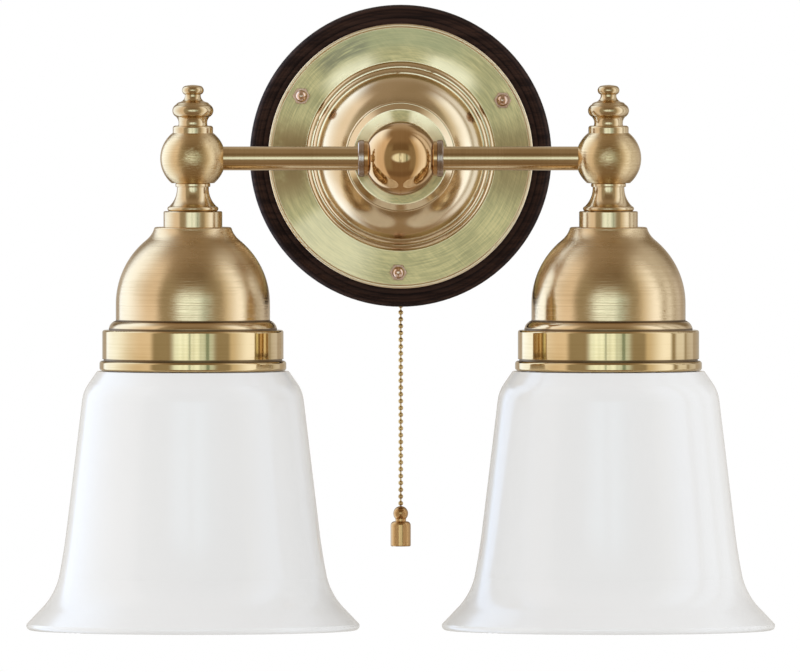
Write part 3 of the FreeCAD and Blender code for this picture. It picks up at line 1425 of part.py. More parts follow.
def pull_knob():
    """Turned brass knob: a ball, a short neck and a plain weight with a round shoulder."""
    body = new_body("pull_knob", "0", f"-{CHAIN_PLANE}")
    ball = "dim.knob_ball_radius"
    neck_radius = "dim.knob_neck_radius"
    centre = f"{KNOB_TOP} - {ball}"
    neck_top = f"{centre} - sqrt({ball} ^ 2 - {neck_radius} ^ 2)"
    body_top = f"{KNOB_TOP} - dim.knob_body_drop"
    bottom = f"{KNOB_TOP} - dim.knob_height"
    outer = "dim.knob_body_radius"
    edge = "dim.knob_bottom_round"
    link = "dim.link_radius"
    turned_on_z(
        body,
        to("0", f"{KNOB_TOP} + dim.link_gap"),
        to(link, f"{KNOB_TOP} + dim.link_gap"),
        to(link, f"{centre} + sqrt({ball} ^ 2 - {link} ^ 2)"),
        right(ball, centre, ball),
        right(neck_radius, neck_top, ball),
        to(neck_radius, body_top),
        to(f"{outer} - dim.knob_round", body_top),
        right(outer, f"{body_top} - dim.knob_round", "dim.knob_round"),
        to(outer, f"{bottom} + {edge}"),
        to(f"{outer} - {edge}", bottom),
        to("0", bottom))


def build():
    """Makes every sub-part, in the order in which the fitting is put together."""
    fill_sheet()
    wood_backplate()
    brass_backplate()
    mounting_studs()
    cap_nuts()
    stem_tube()
    stem_lock_nut()
    hub_ball()
    boss_face = "-dim.arm_reach + dim.hub_boss_reach"
    lock_collar("stem_collar", "0", boss_face, 90)
    lock_collar("left_hub_collar", "-dim.hub_boss_reach", "-dim.arm_reach", 180)
    lock_collar("right_hub_collar", "dim.hub_boss_reach", "-dim.arm_reach", 0)
    for side, sign in (("left", -1), ("right", 1)):
        for piece in (arm_tube, end_ball, finial, nipple, neck, collar, dome, shade_ring,
                      shade_gasket, glass_shade, lampholder_cap, lampholder_skirt,
                      lampholder_insert, screw_shell, centre_contact, lamp_wire):
            piece(side, sign)
    terminal_block()
    terminal_screws()
    switch_wire()
    switch_housing()
    switch_cover()
    switch_pins()
    switch_lever()
    switch_rotor()
    switch_contacts()
    return_spring()
    chain_bush()
    chain_coupling()
    pull_chain()
    pull_knob()
    DOCUMENT.recompute()


def check_and_export():
    """Stops at a failed object or a bad solid, then writes one file to a sub-part."""
    for item in DOCUMENT.Objects:
        if "Invalid" in item.State or "Error" in item.State:
            raise RuntimeError(f"{item.Name} failed: {item.State}")
    for node in NODES:
        shape = node.Shape
        if shape.isNull() or not shape.isValid() or shape.Volume <= 0:
            raise RuntimeError(f"{node.Label} is not a sound solid")
    os.makedirs("parts", exist_ok=True)
    for node in NODES:
        node.Shape.exportStep(f"parts/{node.Label}.step")
    print(f"{len(NODES)} sub-parts written")


build()
check_and_export()
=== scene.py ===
import math
import bmesh
import bpy
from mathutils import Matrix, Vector


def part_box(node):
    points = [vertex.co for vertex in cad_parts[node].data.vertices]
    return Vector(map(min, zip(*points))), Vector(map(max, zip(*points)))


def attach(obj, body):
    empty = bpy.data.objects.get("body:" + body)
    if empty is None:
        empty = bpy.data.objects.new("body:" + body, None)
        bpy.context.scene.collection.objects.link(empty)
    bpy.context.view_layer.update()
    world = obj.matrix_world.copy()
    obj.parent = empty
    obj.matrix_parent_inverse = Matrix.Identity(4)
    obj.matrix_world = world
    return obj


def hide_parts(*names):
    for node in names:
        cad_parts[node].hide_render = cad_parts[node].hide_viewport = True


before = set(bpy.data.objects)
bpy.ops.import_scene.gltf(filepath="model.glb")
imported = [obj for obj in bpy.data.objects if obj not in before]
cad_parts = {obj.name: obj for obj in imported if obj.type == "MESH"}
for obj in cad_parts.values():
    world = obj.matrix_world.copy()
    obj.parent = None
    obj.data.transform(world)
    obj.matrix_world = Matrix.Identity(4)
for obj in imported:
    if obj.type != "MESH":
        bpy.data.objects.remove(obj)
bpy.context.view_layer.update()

# Camera. It stands straight in front of the wall, a touch above level, and so far off that
# the plate, the arms and the shades keep their true proportions.
view_distance = 15.0
view_lift = math.radians(1.2)
view_width = 0.385
sensor = 36.0
aim = Vector((-0.00034, -0.095, -0.08546))
camera_data = bpy.data.cameras.new("camera")
camera_data.sensor_width = sensor
camera_data.lens = sensor * view_distance / view_width
camera_data.clip_end = 2 * view_distance
camera = bpy.data.objects.new("camera", camera_data)
camera.location = aim + view_distance * Vector((0.0, -math.cos(view_lift), math.sin(view_lift)))
camera.rotation_euler = (math.pi / 2 - view_lift, 0.0, 0.0)
bpy.context.scene.collection.objects.link(camera)
bpy.context.scene.camera = camera
bpy.context.scene.view_settings.view_transform = "Standard"

# Studio light. White paper stands behind the object and is what the camera sees. The metal
# mirrors a dim warm room, with a low striped window in front and a soft panel at each side,
# and every dull surface gets one plain soft light.


class Socket:
    """One output of a shader node. Arithmetic on it adds Math nodes to the same node tree."""

    def __init__(self, tree, output=None):
        self.tree = tree
        self.output = output

    def node(self, kind, settings=None, inputs=None, output=0):
        made = self.tree.nodes.new(kind)
        for name, value in (settings or {}).items():
            setattr(made, name, value)
        for name, value in (inputs or {}).items():
            if isinstance(value, Socket):
                self.tree.links.new(value.output, made.inputs[name])
            else:
                made.inputs[name].default_value = value
        return Socket(self.tree, made.outputs[output] if made.outputs else None)

    def math(self, operation, *values):
        return self.node("ShaderNodeMath", {"operation": operation}, dict(enumerate(values)))

    def __add__(self, other):
        return self.math("ADD", self, other)

    __radd__ = __add__

    def __sub__(self, other):
        return self.math("SUBTRACT", self, other)

    def __rsub__(self, other):
        return self.math("SUBTRACT", other, self)

    def __mul__(self, other):
        return self.math("MULTIPLY", self, other)

    __rmul__ = __mul__

    def __truediv__(self, other):
        return self.math("DIVIDE", self, other)

    def __pow__(self, other):
        return self.math("POWER", self, other)

    def __abs__(self):
        return self.math("ABSOLUTE", self)


def parts_of(vector):
    """The X, Y and Z of a vector socket."""
    return [vector.node("ShaderNodeSeparateXYZ", None, {0: vector}, letter) for letter in "XYZ"]


def joined(x, y, z):
    """A vector socket from three numbers, of which the first is a socket."""
    return x.node("ShaderNodeCombineXYZ", None, {0: x, 1: y, 2: z})


def step(value, low, high):
    """0 below low, 1 above high, smooth between them."""
    settings = {"interpolation_type": "SMOOTHSTEP"}
    return value.node("ShaderNodeMapRange", settings, {0: value, 1: low, 2: high})


def band(value, low, high, soft):
    """1 between low and high, falling to 0 over a soft edge outside them."""
    return step(value, low - soft, low) * (1.0 - step(value, high, high + soft))


def mixed(share, first, second):
    """The first colour where share is 0 and the second where it is 1."""
    return share.node("ShaderNodeMix", {"data_type": "RGBA"}, {0: share, 6: first, 7: second}, 2)


world = bpy.data.worlds.new("studio")
bpy.context.scene.world = world
world.use_nodes = True
world.cycles.sampling_method = "NONE"
world.node_tree.nodes.clear()
sky = Socket(world.node_tree)
to_right, away, up = parts_of(sky.node("ShaderNodeTexCoord", output="Generated"))

# A direction is known by three angles in degrees: turn goes round the upright axis and is 0 at
# the front, lift is the height over the level, and over goes from the back under the object
# to the front at 0, and on over the top to the back.
degrees = 180 / math.pi
turn = to_right.math("ARCTAN2", to_right, -1.0 * away) * degrees
lift = up.math("ARCSINE", up) * degrees
over = up.math("ARCTAN2", up, -1.0 * away) * degrees

# The room, in the order of over: each colour takes the place of the last between two angles.
room_back = (0.53, 0.49, 0.43, 1)
room_wall = (0.40, 0.36, 0.27, 1)
floor_glow = (0.38, 0.29, 0.20, 1)
shelf_shadow = (0.26, 0.19, 0.125, 1)
low_room = (0.31, 0.24, 0.165, 1)
beam = (0.24, 0.185, 0.12, 1)
ceiling = (0.35, 0.28, 0.20, 1)
seen = room_back
for start_angle, end_angle, colour in (
        (-150, -112, floor_glow),
        (-66, -54, shelf_shadow),
        (-47, -36, low_room),
        (-10, 8, room_wall),
        (22, 30, beam),
        (42, 62, ceiling),
        (92, 124, room_back)):
    seen = mixed(step(over, start_angle, end_angle), seen, colour)
side_wall = band(abs(turn), 34, 118, 10) * band(lift, -20, 28, 24)
seen = mixed(side_wall, seen, room_wall)
back_corner = (0.24, 0.19, 0.12, 1)
seen = mixed(band(abs(turn), 136, 162, 7) * band(abs(lift), 17, 44, 9) * 0.9, seen, back_corner)

# The panels: one wide one at the left, and three upright strips at the right, the last two
# fainter. Each turns from a warm near edge to a bright cool far one.
panel_height = band(lift, -42, 44, 26)
left_panel = mixed(step(turn, -66, -124), (1.00, 0.93, 0.86, 1), (1.40, 1.70, 2.20, 1))
seen = mixed(band(turn, -140, -58, 9) * panel_height, seen, left_panel)
right_panel = mixed(step(turn, 50, 78), (0.80, 0.74, 0.60, 1), (1.34, 1.48, 1.70, 1))
strips = band(turn, 52, 84, 7) + 0.62 * band(turn, 99, 110, 7) + 0.3 * band(turn, 121, 134, 6)
seen = mixed(strips * panel_height, seen, right_panel)

# The window: an oval with soft edges, a mullion above and below its middle, and two bars.
window_turn = turn - 1.0
window_lift = lift - 3.0
half_width = 32
half_height = 16
window_reach = (window_turn * window_turn / half_width ** 2
                + window_lift * window_lift / half_height ** 2) ** 0.5
mullion = band(turn, -1.4, 1.4, 1.2) * step(abs(window_lift), 3, 8)
window = (1.0 - step(window_reach, 0.66, 1.04)) * (1.0 - 0.6 * mullion)
bars = 0.62 * band(turn, -4.6, -2.8, 0.7) + 0.80 * band(turn, 17.4, 20.6, 1.2)
ripple = 0.06 + 0.06 * turn.math("SINE", turn * 0.9)
panes = (1.0 - bars) * (1.0 - (0.34 * step(turn, 8, 10) + ripple))
seen = mixed(window, seen, mixed(panes, (0.17, 0.28, 0.21, 1), (1.36, 1.72, 1.95, 1)))

soft_level = 0.76 + 0.74 * to_right * to_right + 0.05 * up
soft_light = joined(soft_level, soft_level, soft_level)
mirrored = sky.node("ShaderNodeLightPath", output="Is Glossy Ray")
shown = sky.node("ShaderNodeLightPath", output="Is Camera Ray")
through = sky.node("ShaderNodeLightPath", output="Is Transmission Ray")
paper = (1, 1, 1, 1)
lit = mixed(shown.math("MAXIMUM", shown, through), mixed(mirrored, soft_light, seen), paper)
glow = sky.node("ShaderNodeBackground", None, {"Color": lit})
sky.node("ShaderNodeOutputWorld", None, {"Surface": glow})

# Key lamp. A large soft lamp high at the left gives the turned forms a light and a dark side.
# It is seen neither by the camera nor in the metal.
key_target = Vector((0, 0, -0.1))
key_data = bpy.data.lights.new("key", "AREA")
key_data.shape = "RECTANGLE"
key_data.size = 1.2
key_data.size_y = 0.9
key_data.energy = 1.6
key = bpy.data.objects.new("key", key_data)
key.location = (-1.3, -1.5, 1.1)
key.rotation_euler = (key_target - key.location).to_track_quat("-Z", "Y").to_euler()
key.visible_camera = False
key.visible_glossy = False
bpy.context.scene.collection.objects.link(key)

# Floor. A plain pale board well below the shades, with no underside, so that the object can be
# seen from below as well.


def new_finish(name):
    """An empty material and the socket that its nodes start from."""
    material = bpy.data.materials.new(name)
    material.use_nodes = True
    material.node_tree.nodes.clear()
    return material, Socket(material.node_tree)


def noise(place, scale, detail=3.0, rough=0.5):
    """Noise between about 0.2 and 0.8 at a place, with so many cells to the metre."""
    values = {"Vector": place, "Scale": scale, "Detail": detail, "Roughness": rough}
    return place.node("ShaderNodeTexNoise", None, values)


floor_level = -0.62
floor_half = 1.6
floor_mesh = bpy.data.meshes.new("floor")
shape = bmesh.new()
bmesh.ops.create_grid(shape, x_segments=1, y_segments=1, size=floor_half)
bmesh.ops.translate(shape, verts=shape.verts, vec=(0, 0, floor_level))
shape.to_mesh(floor_mesh)
shape.free()
floor = bpy.data.objects.new("floor", floor_mesh)
bpy.context.scene.collection.objects.link(floor)
floor.visible_glossy = False
pale_board, start = new_finish("pale_board")
where = start.node("ShaderNodeTexCoord", output="Object")
board = start.node("ShaderNodeBsdfPrincipled", None, {
    "Base Color": mixed(noise(where, 9), (0.83, 0.83, 0.82, 1), (0.87, 0.87, 0.86, 1)),
    "Roughness": 0.9,
})
underside = start.node("ShaderNodeNewGeometry", output="Backfacing")
clear = start.node("ShaderNodeBsdfTransparent")
both = start.node("ShaderNodeMixShader", None, {0: underside, 1: board, 2: clear})
start.node("ShaderNodeOutputMaterial", None, {"Surface": both})
floor_mesh.materials.append(pale_board)

# Wood backplate. A disc of dark oiled hardwood, turned on a faceplate with a quirk near its
# rounded edge and a recess behind, then stained nearly black.


def bump(height, strength, distance):
    """Shading normals of a fine relief this high."""
    values = {"Height": height, "Strength": strength, "Distance": distance}
    return height.node("ShaderNodeBump", None, values)


def close_finish(start, values):
    """Ends a material in a Principled shader with these values or sockets."""
    shader = start.node("ShaderNodeBsdfPrincipled", None, values)
    start.node("ShaderNodeOutputMaterial", None, {"Surface": shader})


def dress(material, *names):
    """Gives CAD nodes their finish."""
    for name in names:
        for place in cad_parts[name].material_slots:
            place.material = material


dark_grain = (0.0110, 0.0042, 0.0028, 1)
light_grain = (0.040, 0.0170, 0.0100, 1)
pore_black = (0.006, 0.003, 0.003, 1)
oiled_wood, start = new_finish("oiled_wood")
where = start.node("ShaderNodeTexCoord", output="Object")
x, y, z = parts_of(where)
warp = noise(where, 22, 3) * 0.012
along_grain = joined(x * 12.0, y * 150.0, (z + warp) * 260.0)
fibre = noise(along_grain, 1.0, 5, 0.62)
pores = noise(joined(x * 60.0, y * 900.0, z * 1500.0), 1.0, 2)
across = (x * x + z * z) ** 0.5
turning = noise(joined(across * 1300.0, y * 1300.0, fibre), 1.0, 3)
figure = step(fibre * 0.55 + turning * 0.45, 0.40, 0.66)
pore_mask = step(pores, 0.56, 0.68)
wood_height = fibre * 0.4 + turning * 0.7 - pore_mask * 0.5
close_finish(start, {
    "Base Color": mixed(pore_mask * 0.6, mixed(figure, dark_grain, light_grain), pore_black),
    "Roughness": 0.44 + 0.2 * (1.0 - figure),
    "Specular IOR Level": 0.11,
    "Normal": bump(wood_height, 0.35, 0.00015),
})
dress(oiled_wood, "wood_backplate")

# Brass backplate. Spun from 1.2 mm sheet over a former: an edge bead, a flat flange, two reeds,
# a round swell and a stepped boss. The flats are brushed and have gone green and brown in
# places, the swell is bright.
boss_rim = 0.0229
flange_start = 0.0458
bead_start = 0.0619
yellow_brass = (0.70, 0.545, 0.26, 1)
green_brass = (0.42, 0.345, 0.165, 1)
brown_tarnish = (0.36, 0.23, 0.10, 1)
# Grey for painted shade along the top of the flange.
top_shade_grey = (0.40, 0.38, 0.21, 1)
# Near-black for a dark arc of painted shade on the flange.
dark_arc_colour = (0.20, 0.18, 0.12, 1)
# Pale brass for the painted highlights near the reeds, and for a pale patch at the lower left.
pale_lobe_brass = (0.98, 0.78, 0.50, 1)
# Pale brass for the painted highlight on the boss.
boss_highlight_brass = (1.0, 0.82, 0.52, 1)
swell_brass = (0.83, 0.67, 0.45, 1)
swell_shade = (0.72, 0.57, 0.36, 1)
# Darker brass for painted shade at the bottom of the swell.
swell_foot_shade = (0.60, 0.44, 0.25, 1)
# Pale brass for the painted highlight along the edge bead.
bead_highlight_brass = (0.92, 0.76, 0.52, 1)
plate_brass, start = new_finish("plate_brass")
where = start.node("ShaderNodeTexCoord", output="Object")
x, y, z = parts_of(where)
radius = (x * x + z * z) ** 0.5
to_side = x / radius
to_top = z / radius

# Its marks: clouds of tarnish, brush marks round the plate, scratches across it, a fine grain.
cloud = noise(where, 24, 3)
drift = noise(where, 42, 4, 0.6)
streak = noise(joined(radius * 1300.0 + drift * 1.5, to_side * 4.0, to_top * 4.0), 1.0, 4, 0.6)
scratch = noise(joined((x + z) * 1500.0, (x - z) * 70.0, 0.0), 1.0, 3)
fine = noise(joined(radius * 4800.0, y * 4800.0, cloud * 9.0), 1.0, 2)
brushed = streak * 0.45 + scratch * 0.20 + drift * 0.35

# Where they lie: the parts of the profile, brown tarnish at both sides and a pale patch at the
# lower left. Painted light lies here too: painted highlights near the reeds at the top and on
# the boss above the hub, a dark arc of painted shade at the top left of the flange, and
# painted grey shade along its top.
bead = step(radius, bead_start, bead_start + 0.0004)
satin_flat = (1.0 - band(radius, boss_rim, flange_start, 0.0005)) * (1.0 - bead)
brown = (1.0 - step(abs(to_top + 0.04), 0.16, 0.50)) * step(drift, 0.30, 0.52)
inner = 1.0 - step(radius + 0.006 * (drift - 0.5), 0.0475, 0.0560)
# Painted highlights: pale lobes at the top near the reeds, and a pale patch at the lower left.
top_highlight_lobes = step(to_top, 0.58, 0.80) * (1.0 - step(to_top, 0.93, 0.995)) * inner
lower_left_pale = band(to_top, -0.96, -0.60, 0.12) * step(to_side, -0.1, -0.45) * 0.55
pale_lobes = top_highlight_lobes.math("MAXIMUM", top_highlight_lobes, lower_left_pale)
boss = 1.0 - step(radius, boss_rim - 0.0007, boss_rim)
# Painted highlight on the upper boss, at both sides of its top.
painted_boss_highlight = step(to_top, 0.20, 0.55) * (1.0 - step(to_top, 0.955, 0.995)) * boss
# A dark arc of painted shade at the top left of the flange, broken up by the brush marks.
toward_dark_arc = 0.87 * to_top - 0.50 * to_side
painted_dark_arc = step(toward_dark_arc, 0.960, 0.996) * band(radius, 0.0550, 0.0590, 0.003)
# Painted shade: the top of the flange made greyer and darker.
painted_top_shade = step(to_top, 0.74, 0.96) * step(radius, 0.0500, 0.0560)

flat_tone = mixed(step(brushed, 0.36, 0.62), yellow_brass, green_brass)
flat_tone = mixed(brown * (0.68 - 0.25 * to_side), flat_tone, brown_tarnish)
flat_tone = mixed(painted_top_shade * 0.55, flat_tone, top_shade_grey)
flat_tone = mixed(pale_lobes * 0.75, flat_tone, pale_lobe_brass)
flat_tone = mixed(painted_boss_highlight * 0.80, flat_tone, boss_highlight_brass)
flat_tone = mixed(painted_dark_arc * step(streak, 0.30, 0.55) * 0.6, flat_tone, dark_arc_colour)
swell_tone = mixed(step(cloud, 0.42, 0.66), swell_brass, swell_shade)
# Painted shade: the bottom of the swell made darker.
swell_tone = mixed(step(to_top, -0.60, -0.92) * 0.8, swell_tone, swell_foot_shade)
# The edge bead is painted pale, as the highlight along it.
close_finish(start, {
    "Base Color": mixed(bead, mixed(satin_flat, swell_tone, flat_tone), bead_highlight_brass),
    "Metallic": 1.0,
    "Roughness": 0.17 + satin_flat * (0.19 - 0.08 * pale_lobes) + 0.06 * (streak - 0.5) + 0.2 * bead,
    "Normal": bump(fine * 0.6 + (streak + scratch) * (0.2 * satin_flat), 0.22, 0.00003),
})
dress(plate_brass, "brass_backplate")

# Studs and cap nuts. Three steel studs are screwed into the wood, and the plate is drawn down
# on them by small domed nuts of reddish brass, polished on top and dull on their flats.


def turned_brass(name, centre, axis, tone, shade, roughness, relief=0.25, satin=None, grooves=()):
    """Metal turned or spun round an axis through centre, with its marks running round it. satin is
    the height where the finish starts to dull, where it is dullest, and by how much. grooves are
    the heights between which a corner is darkened: partly dark wax and tarnish, partly painted
    shade."""
    groove_edge = 0.0004
    wax_and_shade_dark = (0.10, 0.055, 0.025, 1)
    material, start = new_finish(name)
    where = start.node("ShaderNodeTexCoord", output="Object")
    from_centre = {"operation": "SUBTRACT"}
    local = where.node("ShaderNodeVectorMath", from_centre, {0: where, 1: centre})
    sides = dict(zip("XYZ", parts_of(local)))
    height = sides.pop(axis)
    first, second = sides.values()
    radius = (first * first + second * second) ** 0.5
    cloud = noise(local, 26, 3)
    streak = noise(joined(radius * 1400.0 + cloud, height * 1400.0, cloud * 3.0), 1.0, 4, 0.6)
    fine = noise(joined(radius * 5200.0, height * 5200.0, cloud * 5.0), 1.0, 2)
    dull = step(cloud * 0.75 + streak * 0.25, 0.42, 0.66)
    colour = mixed(dull, tone, shade)
    rough = roughness + 0.03 * (streak - 0.5) + 0.08 * (cloud - 0.5)
    if satin:
        rough = rough + satin[2] * step(height, satin[0], satin[1])
    # Each groove is darkened: partly dark wax and tarnish, partly painted shade where parts meet.
    for low, high in grooves:
        corner_dark = band(height, low, high, groove_edge)
        colour = mixed(corner_dark * 0.85, colour, wax_and_shade_dark)
        rough = rough + 0.3 * corner_dark
    close_finish(start, {
        "Base Color": colour,
        "Metallic": 1.0,
        "Roughness": rough,
        "Normal": bump(fine * 0.94 + streak * 0.06, 1.0, relief * 0.00003),
    })
    return material


plate_centre = Vector((0.0, 0.0, 0.0))
# The nuts' feet are painted dark, as the shadow where they sit on the plate.
nut_foot_shadow = (-0.0236, -0.0228)
nut_flats = (-0.0269, -0.0263, 0.42)
steel = turned_brass("steel", plate_centre, "Y", (0.56, 0.56, 0.57, 1), (0.40, 0.40, 0.41, 1), 0.32)
dress(steel, "mounting_studs")
nut_brass = turned_brass(
    "nut_brass", plate_centre, "Y", (0.84, 0.62, 0.48, 1), (0.64, 0.43, 0.31, 1), 0.16,
    relief=0.15, satin=nut_flats, grooves=[nut_foot_shadow])
dress(nut_brass, "cap_nuts")

# Stem and hub. The stem stands on the boss by a turned seat, held behind by a steel nut, and a
# hollow ball screwed on its end takes the two arms, each locked by a turned collar.
hub_centre = Vector((0.0, -0.095, 0.0))
warm_tone = (0.68, 0.51, 0.30, 1)
warm_shade = (0.58, 0.42, 0.23, 1)
stem_brass = turned_brass("stem_brass", plate_centre, "Y", warm_tone, warm_shade, 0.24)
dress(stem_brass, "stem_tube", "stem_collar")
dress(steel, "stem_lock_nut")
hub_brass = turned_brass(
    "hub_brass", hub_centre, "X", (0.66, 0.43, 0.215, 1), (0.58, 0.36, 0.165, 1), 0.07,
    relief=0.05)
dress(hub_brass, "hub_ball")
collar_brass = turned_brass(
    "collar_brass", hub_centre, "X", (0.56, 0.45, 0.38, 1), (0.26, 0.18, 0.12, 1), 0.26,
    relief=0.3)
dress(collar_brass, "left_hub_collar", "right_hub_collar")

# Arms. Two straight drawn brass tubes, polished smooth, screwed into the hub at one end and
# seated in the lamp's ball at the other.
arm_brass = turned_brass("arm_brass", hub_centre, "X", warm_tone, warm_shade, 0.12, relief=0.04)
dress(arm_brass, "left_arm_tube", "right_arm_tube")

# Lamp fittings. At each arm's end a ball carries a turned finial above and a trumpet neck, a
# collar, a spun dome and the shade ring below, all clamped on one threaded rod. The balls and
# domes are satin from fine turning and the rings bright. The corners are darkened, partly by
# dark wax and partly as painted shade where the parts meet.


def middle(name):
    """The middle of a CAD node's box."""
    low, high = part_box(name)
    return (low + high) / 2


for side in ("left", "right"):
    lamp_middle = middle(f"{side}_dome")
    dome_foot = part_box(f"{side}_dome")[0].z - lamp_middle.z
    ring_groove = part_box(f"{side}_shade_ring")[0].z - lamp_middle.z + 0.0047
    ball_brass = turned_brass(
        f"{side}_ball_brass", middle(f"{side}_end_ball"), "Z", (0.74, 0.55, 0.31, 1),
        (0.60, 0.43, 0.22, 1), 0.13, relief=3.0)
    dress(ball_brass, f"{side}_end_ball")
    turnery = turned_brass(
        f"{side}_turnery", lamp_middle, "Z", warm_tone, warm_shade, 0.18, relief=0.30)
    dress(turnery, f"{side}_finial", f"{side}_neck", f"{side}_collar")
    # The dome's foot, the line above its roll and the ring's groove are darkened: wax and painted
    # shade.
    dome_brass = turned_brass(
        f"{side}_dome_brass", lamp_middle, "Z", (0.73, 0.545, 0.32, 1), warm_shade, 0.11,
        relief=1.7, satin=(-0.014, 0.010, 0.16),
        grooves=[(dome_foot, dome_foot + 0.0008), (dome_foot + 0.0042, dome_foot + 0.0049)])
    dress(dome_brass, f"{side}_dome")
    ring_brass = turned_brass(
        f"{side}_ring_brass", lamp_middle, "Z", (0.70, 0.52, 0.28, 1), (0.60, 0.43, 0.21, 1),
        0.07, relief=0.08, grooves=[(ring_groove, ring_groove + 0.0009)])
    dress(ring_brass, f"{side}_shade_ring")
    inner_brass = turned_brass(
        f"{side}_inner_brass", lamp_middle, "Z", (0.62, 0.46, 0.24, 1), (0.5, 0.36, 0.18, 1), 0.3)
    dress(inner_brass, f"{side}_nipple", f"{side}_screw_shell", f"{side}_centre_contact")

# Opal glass shades. Blown white glass, a bell with a screw neck and a fire-polished rim. A
# little light goes into the glass and spreads.
opal_glass, start = new_finish("opal_glass")
where = start.node("ShaderNodeTexCoord", output="Object")
milk = noise(where, 14, 2)
close_finish(start, {
    "Base Color": mixed(milk, (0.82, 0.82, 0.82, 1), (0.85, 0.85, 0.846, 1)),
    "Roughness": 0.12 + 0.06 * milk,
    "Normal": bump(noise(where, 30, 2), 0.10, 0.0006),
    "Subsurface Weight": 0.15,
    "Subsurface Radius": (0.004, 0.004, 0.004),
    "Subsurface Scale": 1.0,
})
dress(opal_glass, "left_glass_shade", "right_glass_shade")

# Gaskets. Black rubber rings between the shade ring and the glass, so that the glass sits soft
# and doesn't rattle.


def plain_finish(name, tone, shade, roughness, cells, strength=0.2, more=None):
    """A moulded or glazed finish with a faint mottle."""
    relief = 0.0001
    material, start = new_finish(name)
    where = start.node("ShaderNodeTexCoord", output="Object")
    mottle = noise(where, cells, 3)
    close_finish(start, {
        "Base Color": mixed(mottle, tone, shade),
        "Roughness": roughness + 0.12 * (mottle - 0.5),
        "Normal": bump(mottle, strength, relief),
        **(more or {}),
    })
    return material


rubber = plain_finish("rubber", (0.022, 0.022, 0.022, 1), (0.04, 0.04, 0.04, 1), 0.75, 900)
dress(rubber, "left_shade_gasket", "right_shade_gasket")

# Lampholders. A cap and a skirt of black moulded plastic, screwed together round an insert of
# glazed porcelain.
holder = plain_finish("holder", (0.016, 0.015, 0.015, 1), (0.03, 0.028, 0.026, 1), 0.28, 300)
dress(holder, "left_lampholder_cap", "right_lampholder_cap")
dress(holder, "left_lampholder_skirt", "right_lampholder_skirt")
porcelain = plain_finish(
    "porcelain", (0.86, 0.84, 0.79, 1), (0.80, 0.78, 0.73, 1), 0.16, 120, more={"Coat Weight": 0.5})
dress(porcelain, "left_lampholder_insert", "right_lampholder_insert")

# Screw shells. Thin brass sheet rolled to the lamp's thread, with a plain mouth below and a
# narrower neck above that is riveted to the porcelain. They stand for the plain CAD shells.


def open_rim(shape, level):
    """The open edges of a sheet at one height."""
    return [edge for edge in shape.edges
            if edge.is_boundary and all(abs(vert.co.z - level) < 1e-6 for vert in edge.verts)]


def turned_line(shape, corners, turns, rise=0.0):
    """Turns a line of (radius, height) corners once round the Z axis, rising evenly by rise."""
    line = [shape.verts.new((radius, 0.0, height)) for radius, height in corners]
    line += [shape.edges.new(pair) for pair in zip(line, line[1:])]
    bmesh.ops.spin(shape, geom=line, cent=(0, 0, 0), axis=(0, 0, 1), angle=2 * math.pi, steps=turns,
                   dvec=(0, 0, rise / turns), use_merge=not rise)


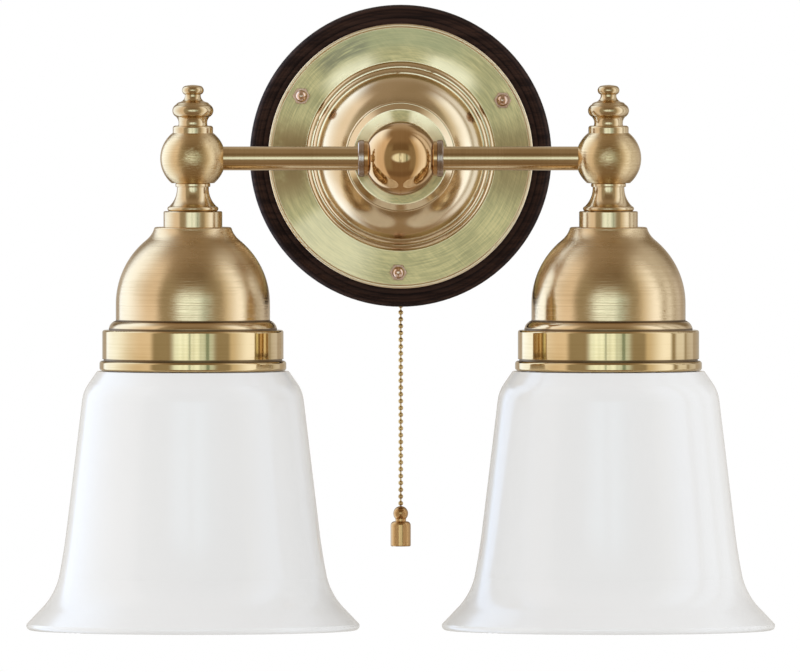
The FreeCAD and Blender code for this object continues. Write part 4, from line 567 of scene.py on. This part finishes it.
thread_pitch = 0.00362
thread_depth = 0.0010
thread_points = 10
shell_sheet = 0.0004
shell_steps = 64
shell_corner = 0.0004
plain_rim = 0.0012
neck_height = 0.0030
neck_step = 0.0029
neck_flange = 0.0030
for side in ("left", "right"):
    low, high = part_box(f"{side}_screw_shell")
    centre = (low + high) / 2
    shell_radius = (high.x - low.x) / 2
    neck_radius = shell_radius - neck_step
    neck_foot = high.z - neck_height
    thread_top = neck_foot - plain_rim
    thread_foot = low.z + plain_rim
    mouth_top = thread_foot - shell_corner
    shape = bmesh.new()

    # One turn of the wave, repeated to the thread's height, rises by a pitch as it is spun, so
    # the turns meet. It is cut level above and below.
    waves = math.ceil((thread_top - thread_foot) / thread_pitch) + 1
    turned_line(shape, [
        (shell_radius - thread_depth * (0.5 - 0.5 * math.cos(2 * math.pi * point / thread_points)),
         thread_foot + thread_pitch * (point / thread_points - 1))
        for point in range(waves * thread_points + 1)
    ], shell_steps, thread_pitch)
    bmesh.ops.remove_doubles(shape, verts=shape.verts, dist=1e-6)
    for level, way_out in ((thread_top, 1), (thread_foot, -1)):
        everything = shape.verts[:] + shape.edges[:] + shape.faces[:]
        bmesh.ops.bisect_plane(shape, geom=everything, dist=1e-8, plane_co=(0, 0, level),
                               plane_no=(0, 0, way_out), clear_outer=True)

    # The neck and the mouth are joined to it, and the sheet gets its thickness inwards.
    turned_line(shape, [
        (neck_radius - neck_flange, high.z),
        (neck_radius, high.z),
        (neck_radius, neck_foot),
        (shell_radius - shell_corner, neck_foot),
        (shell_radius, neck_foot - shell_corner),
    ], shell_steps)
    turned_line(shape, [(shell_radius, mouth_top), (shell_radius, low.z)], shell_steps)
    for first, second in ((thread_top, neck_foot - shell_corner), (thread_foot, mouth_top)):
        bmesh.ops.bridge_loops(shape, edges=open_rim(shape, first) + open_rim(shape, second))
    bmesh.ops.recalc_face_normals(shape, faces=shape.faces)
    bmesh.ops.solidify(shape, geom=shape.faces[:], thickness=shell_sheet)
    bmesh.ops.translate(shape, verts=shape.verts, vec=(centre.x, centre.y, 0))
    for face in shape.faces:
        face.smooth = True
    shell_mesh = bpy.data.meshes.new(f"{side}_thread")
    shape.to_mesh(shell_mesh)
    shape.free()
    shell_mesh.set_sharp_from_angle(angle=math.radians(35))
    shell = bpy.data.objects.new(f"{side}_thread", shell_mesh)
    bpy.context.scene.collection.objects.link(shell)
    shell_mesh.materials.append(bpy.data.materials[f"{side}_inner_brass"])
    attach(shell, "fitting")
    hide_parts(f"{side}_screw_shell")

# Wiring. A cream terminal block with steel screws takes the supply, and sleeved wires run from
# it through the stem, the hub and the arms to the two lamps, and down to the switch.
block = plain_finish("block", (0.74, 0.71, 0.63, 1), (0.66, 0.63, 0.55, 1), 0.5, 400)
dress(block, "terminal_block")
dress(steel, "terminal_screws")
sleeve = plain_finish("sleeve", (0.62, 0.58, 0.5, 1), (0.5, 0.46, 0.38, 1), 0.7, 1500, strength=0.5)
dress(sleeve, "left_lamp_wire", "right_lamp_wire", "switch_wire")

# Pull switch and chain. A black housing with a cream cover holds the steel lever, the rotor and
# the contacts. The chain is hollow brass beads on short rods, and comes out through a brass
# bush in the wood's lower edge, with a turned knob at its end.
chain_centre = Vector((0.0, -0.008, 0.0))
dress(holder, "switch_housing")
dress(block, "switch_cover", "switch_rotor")
dress(steel, "switch_pins", "switch_lever", "return_spring")
chain_brass = turned_brass(
    "chain_brass", chain_centre, "Z", (0.64, 0.45, 0.20, 1), (0.42, 0.27, 0.11, 1), 0.12,
    relief=0.1)
dress(chain_brass, "chain_inner", "chain_link", "ball_chain", "chain_bush", "chain_coupling")
dress(chain_brass, "switch_contacts")
knob_brass = turned_brass(
    "knob_brass", chain_centre, "Z", (0.52, 0.30, 0.12, 1), (0.38, 0.21, 0.08, 1), 0.16,
    relief=0.2)
dress(knob_brass, "pull_knob")
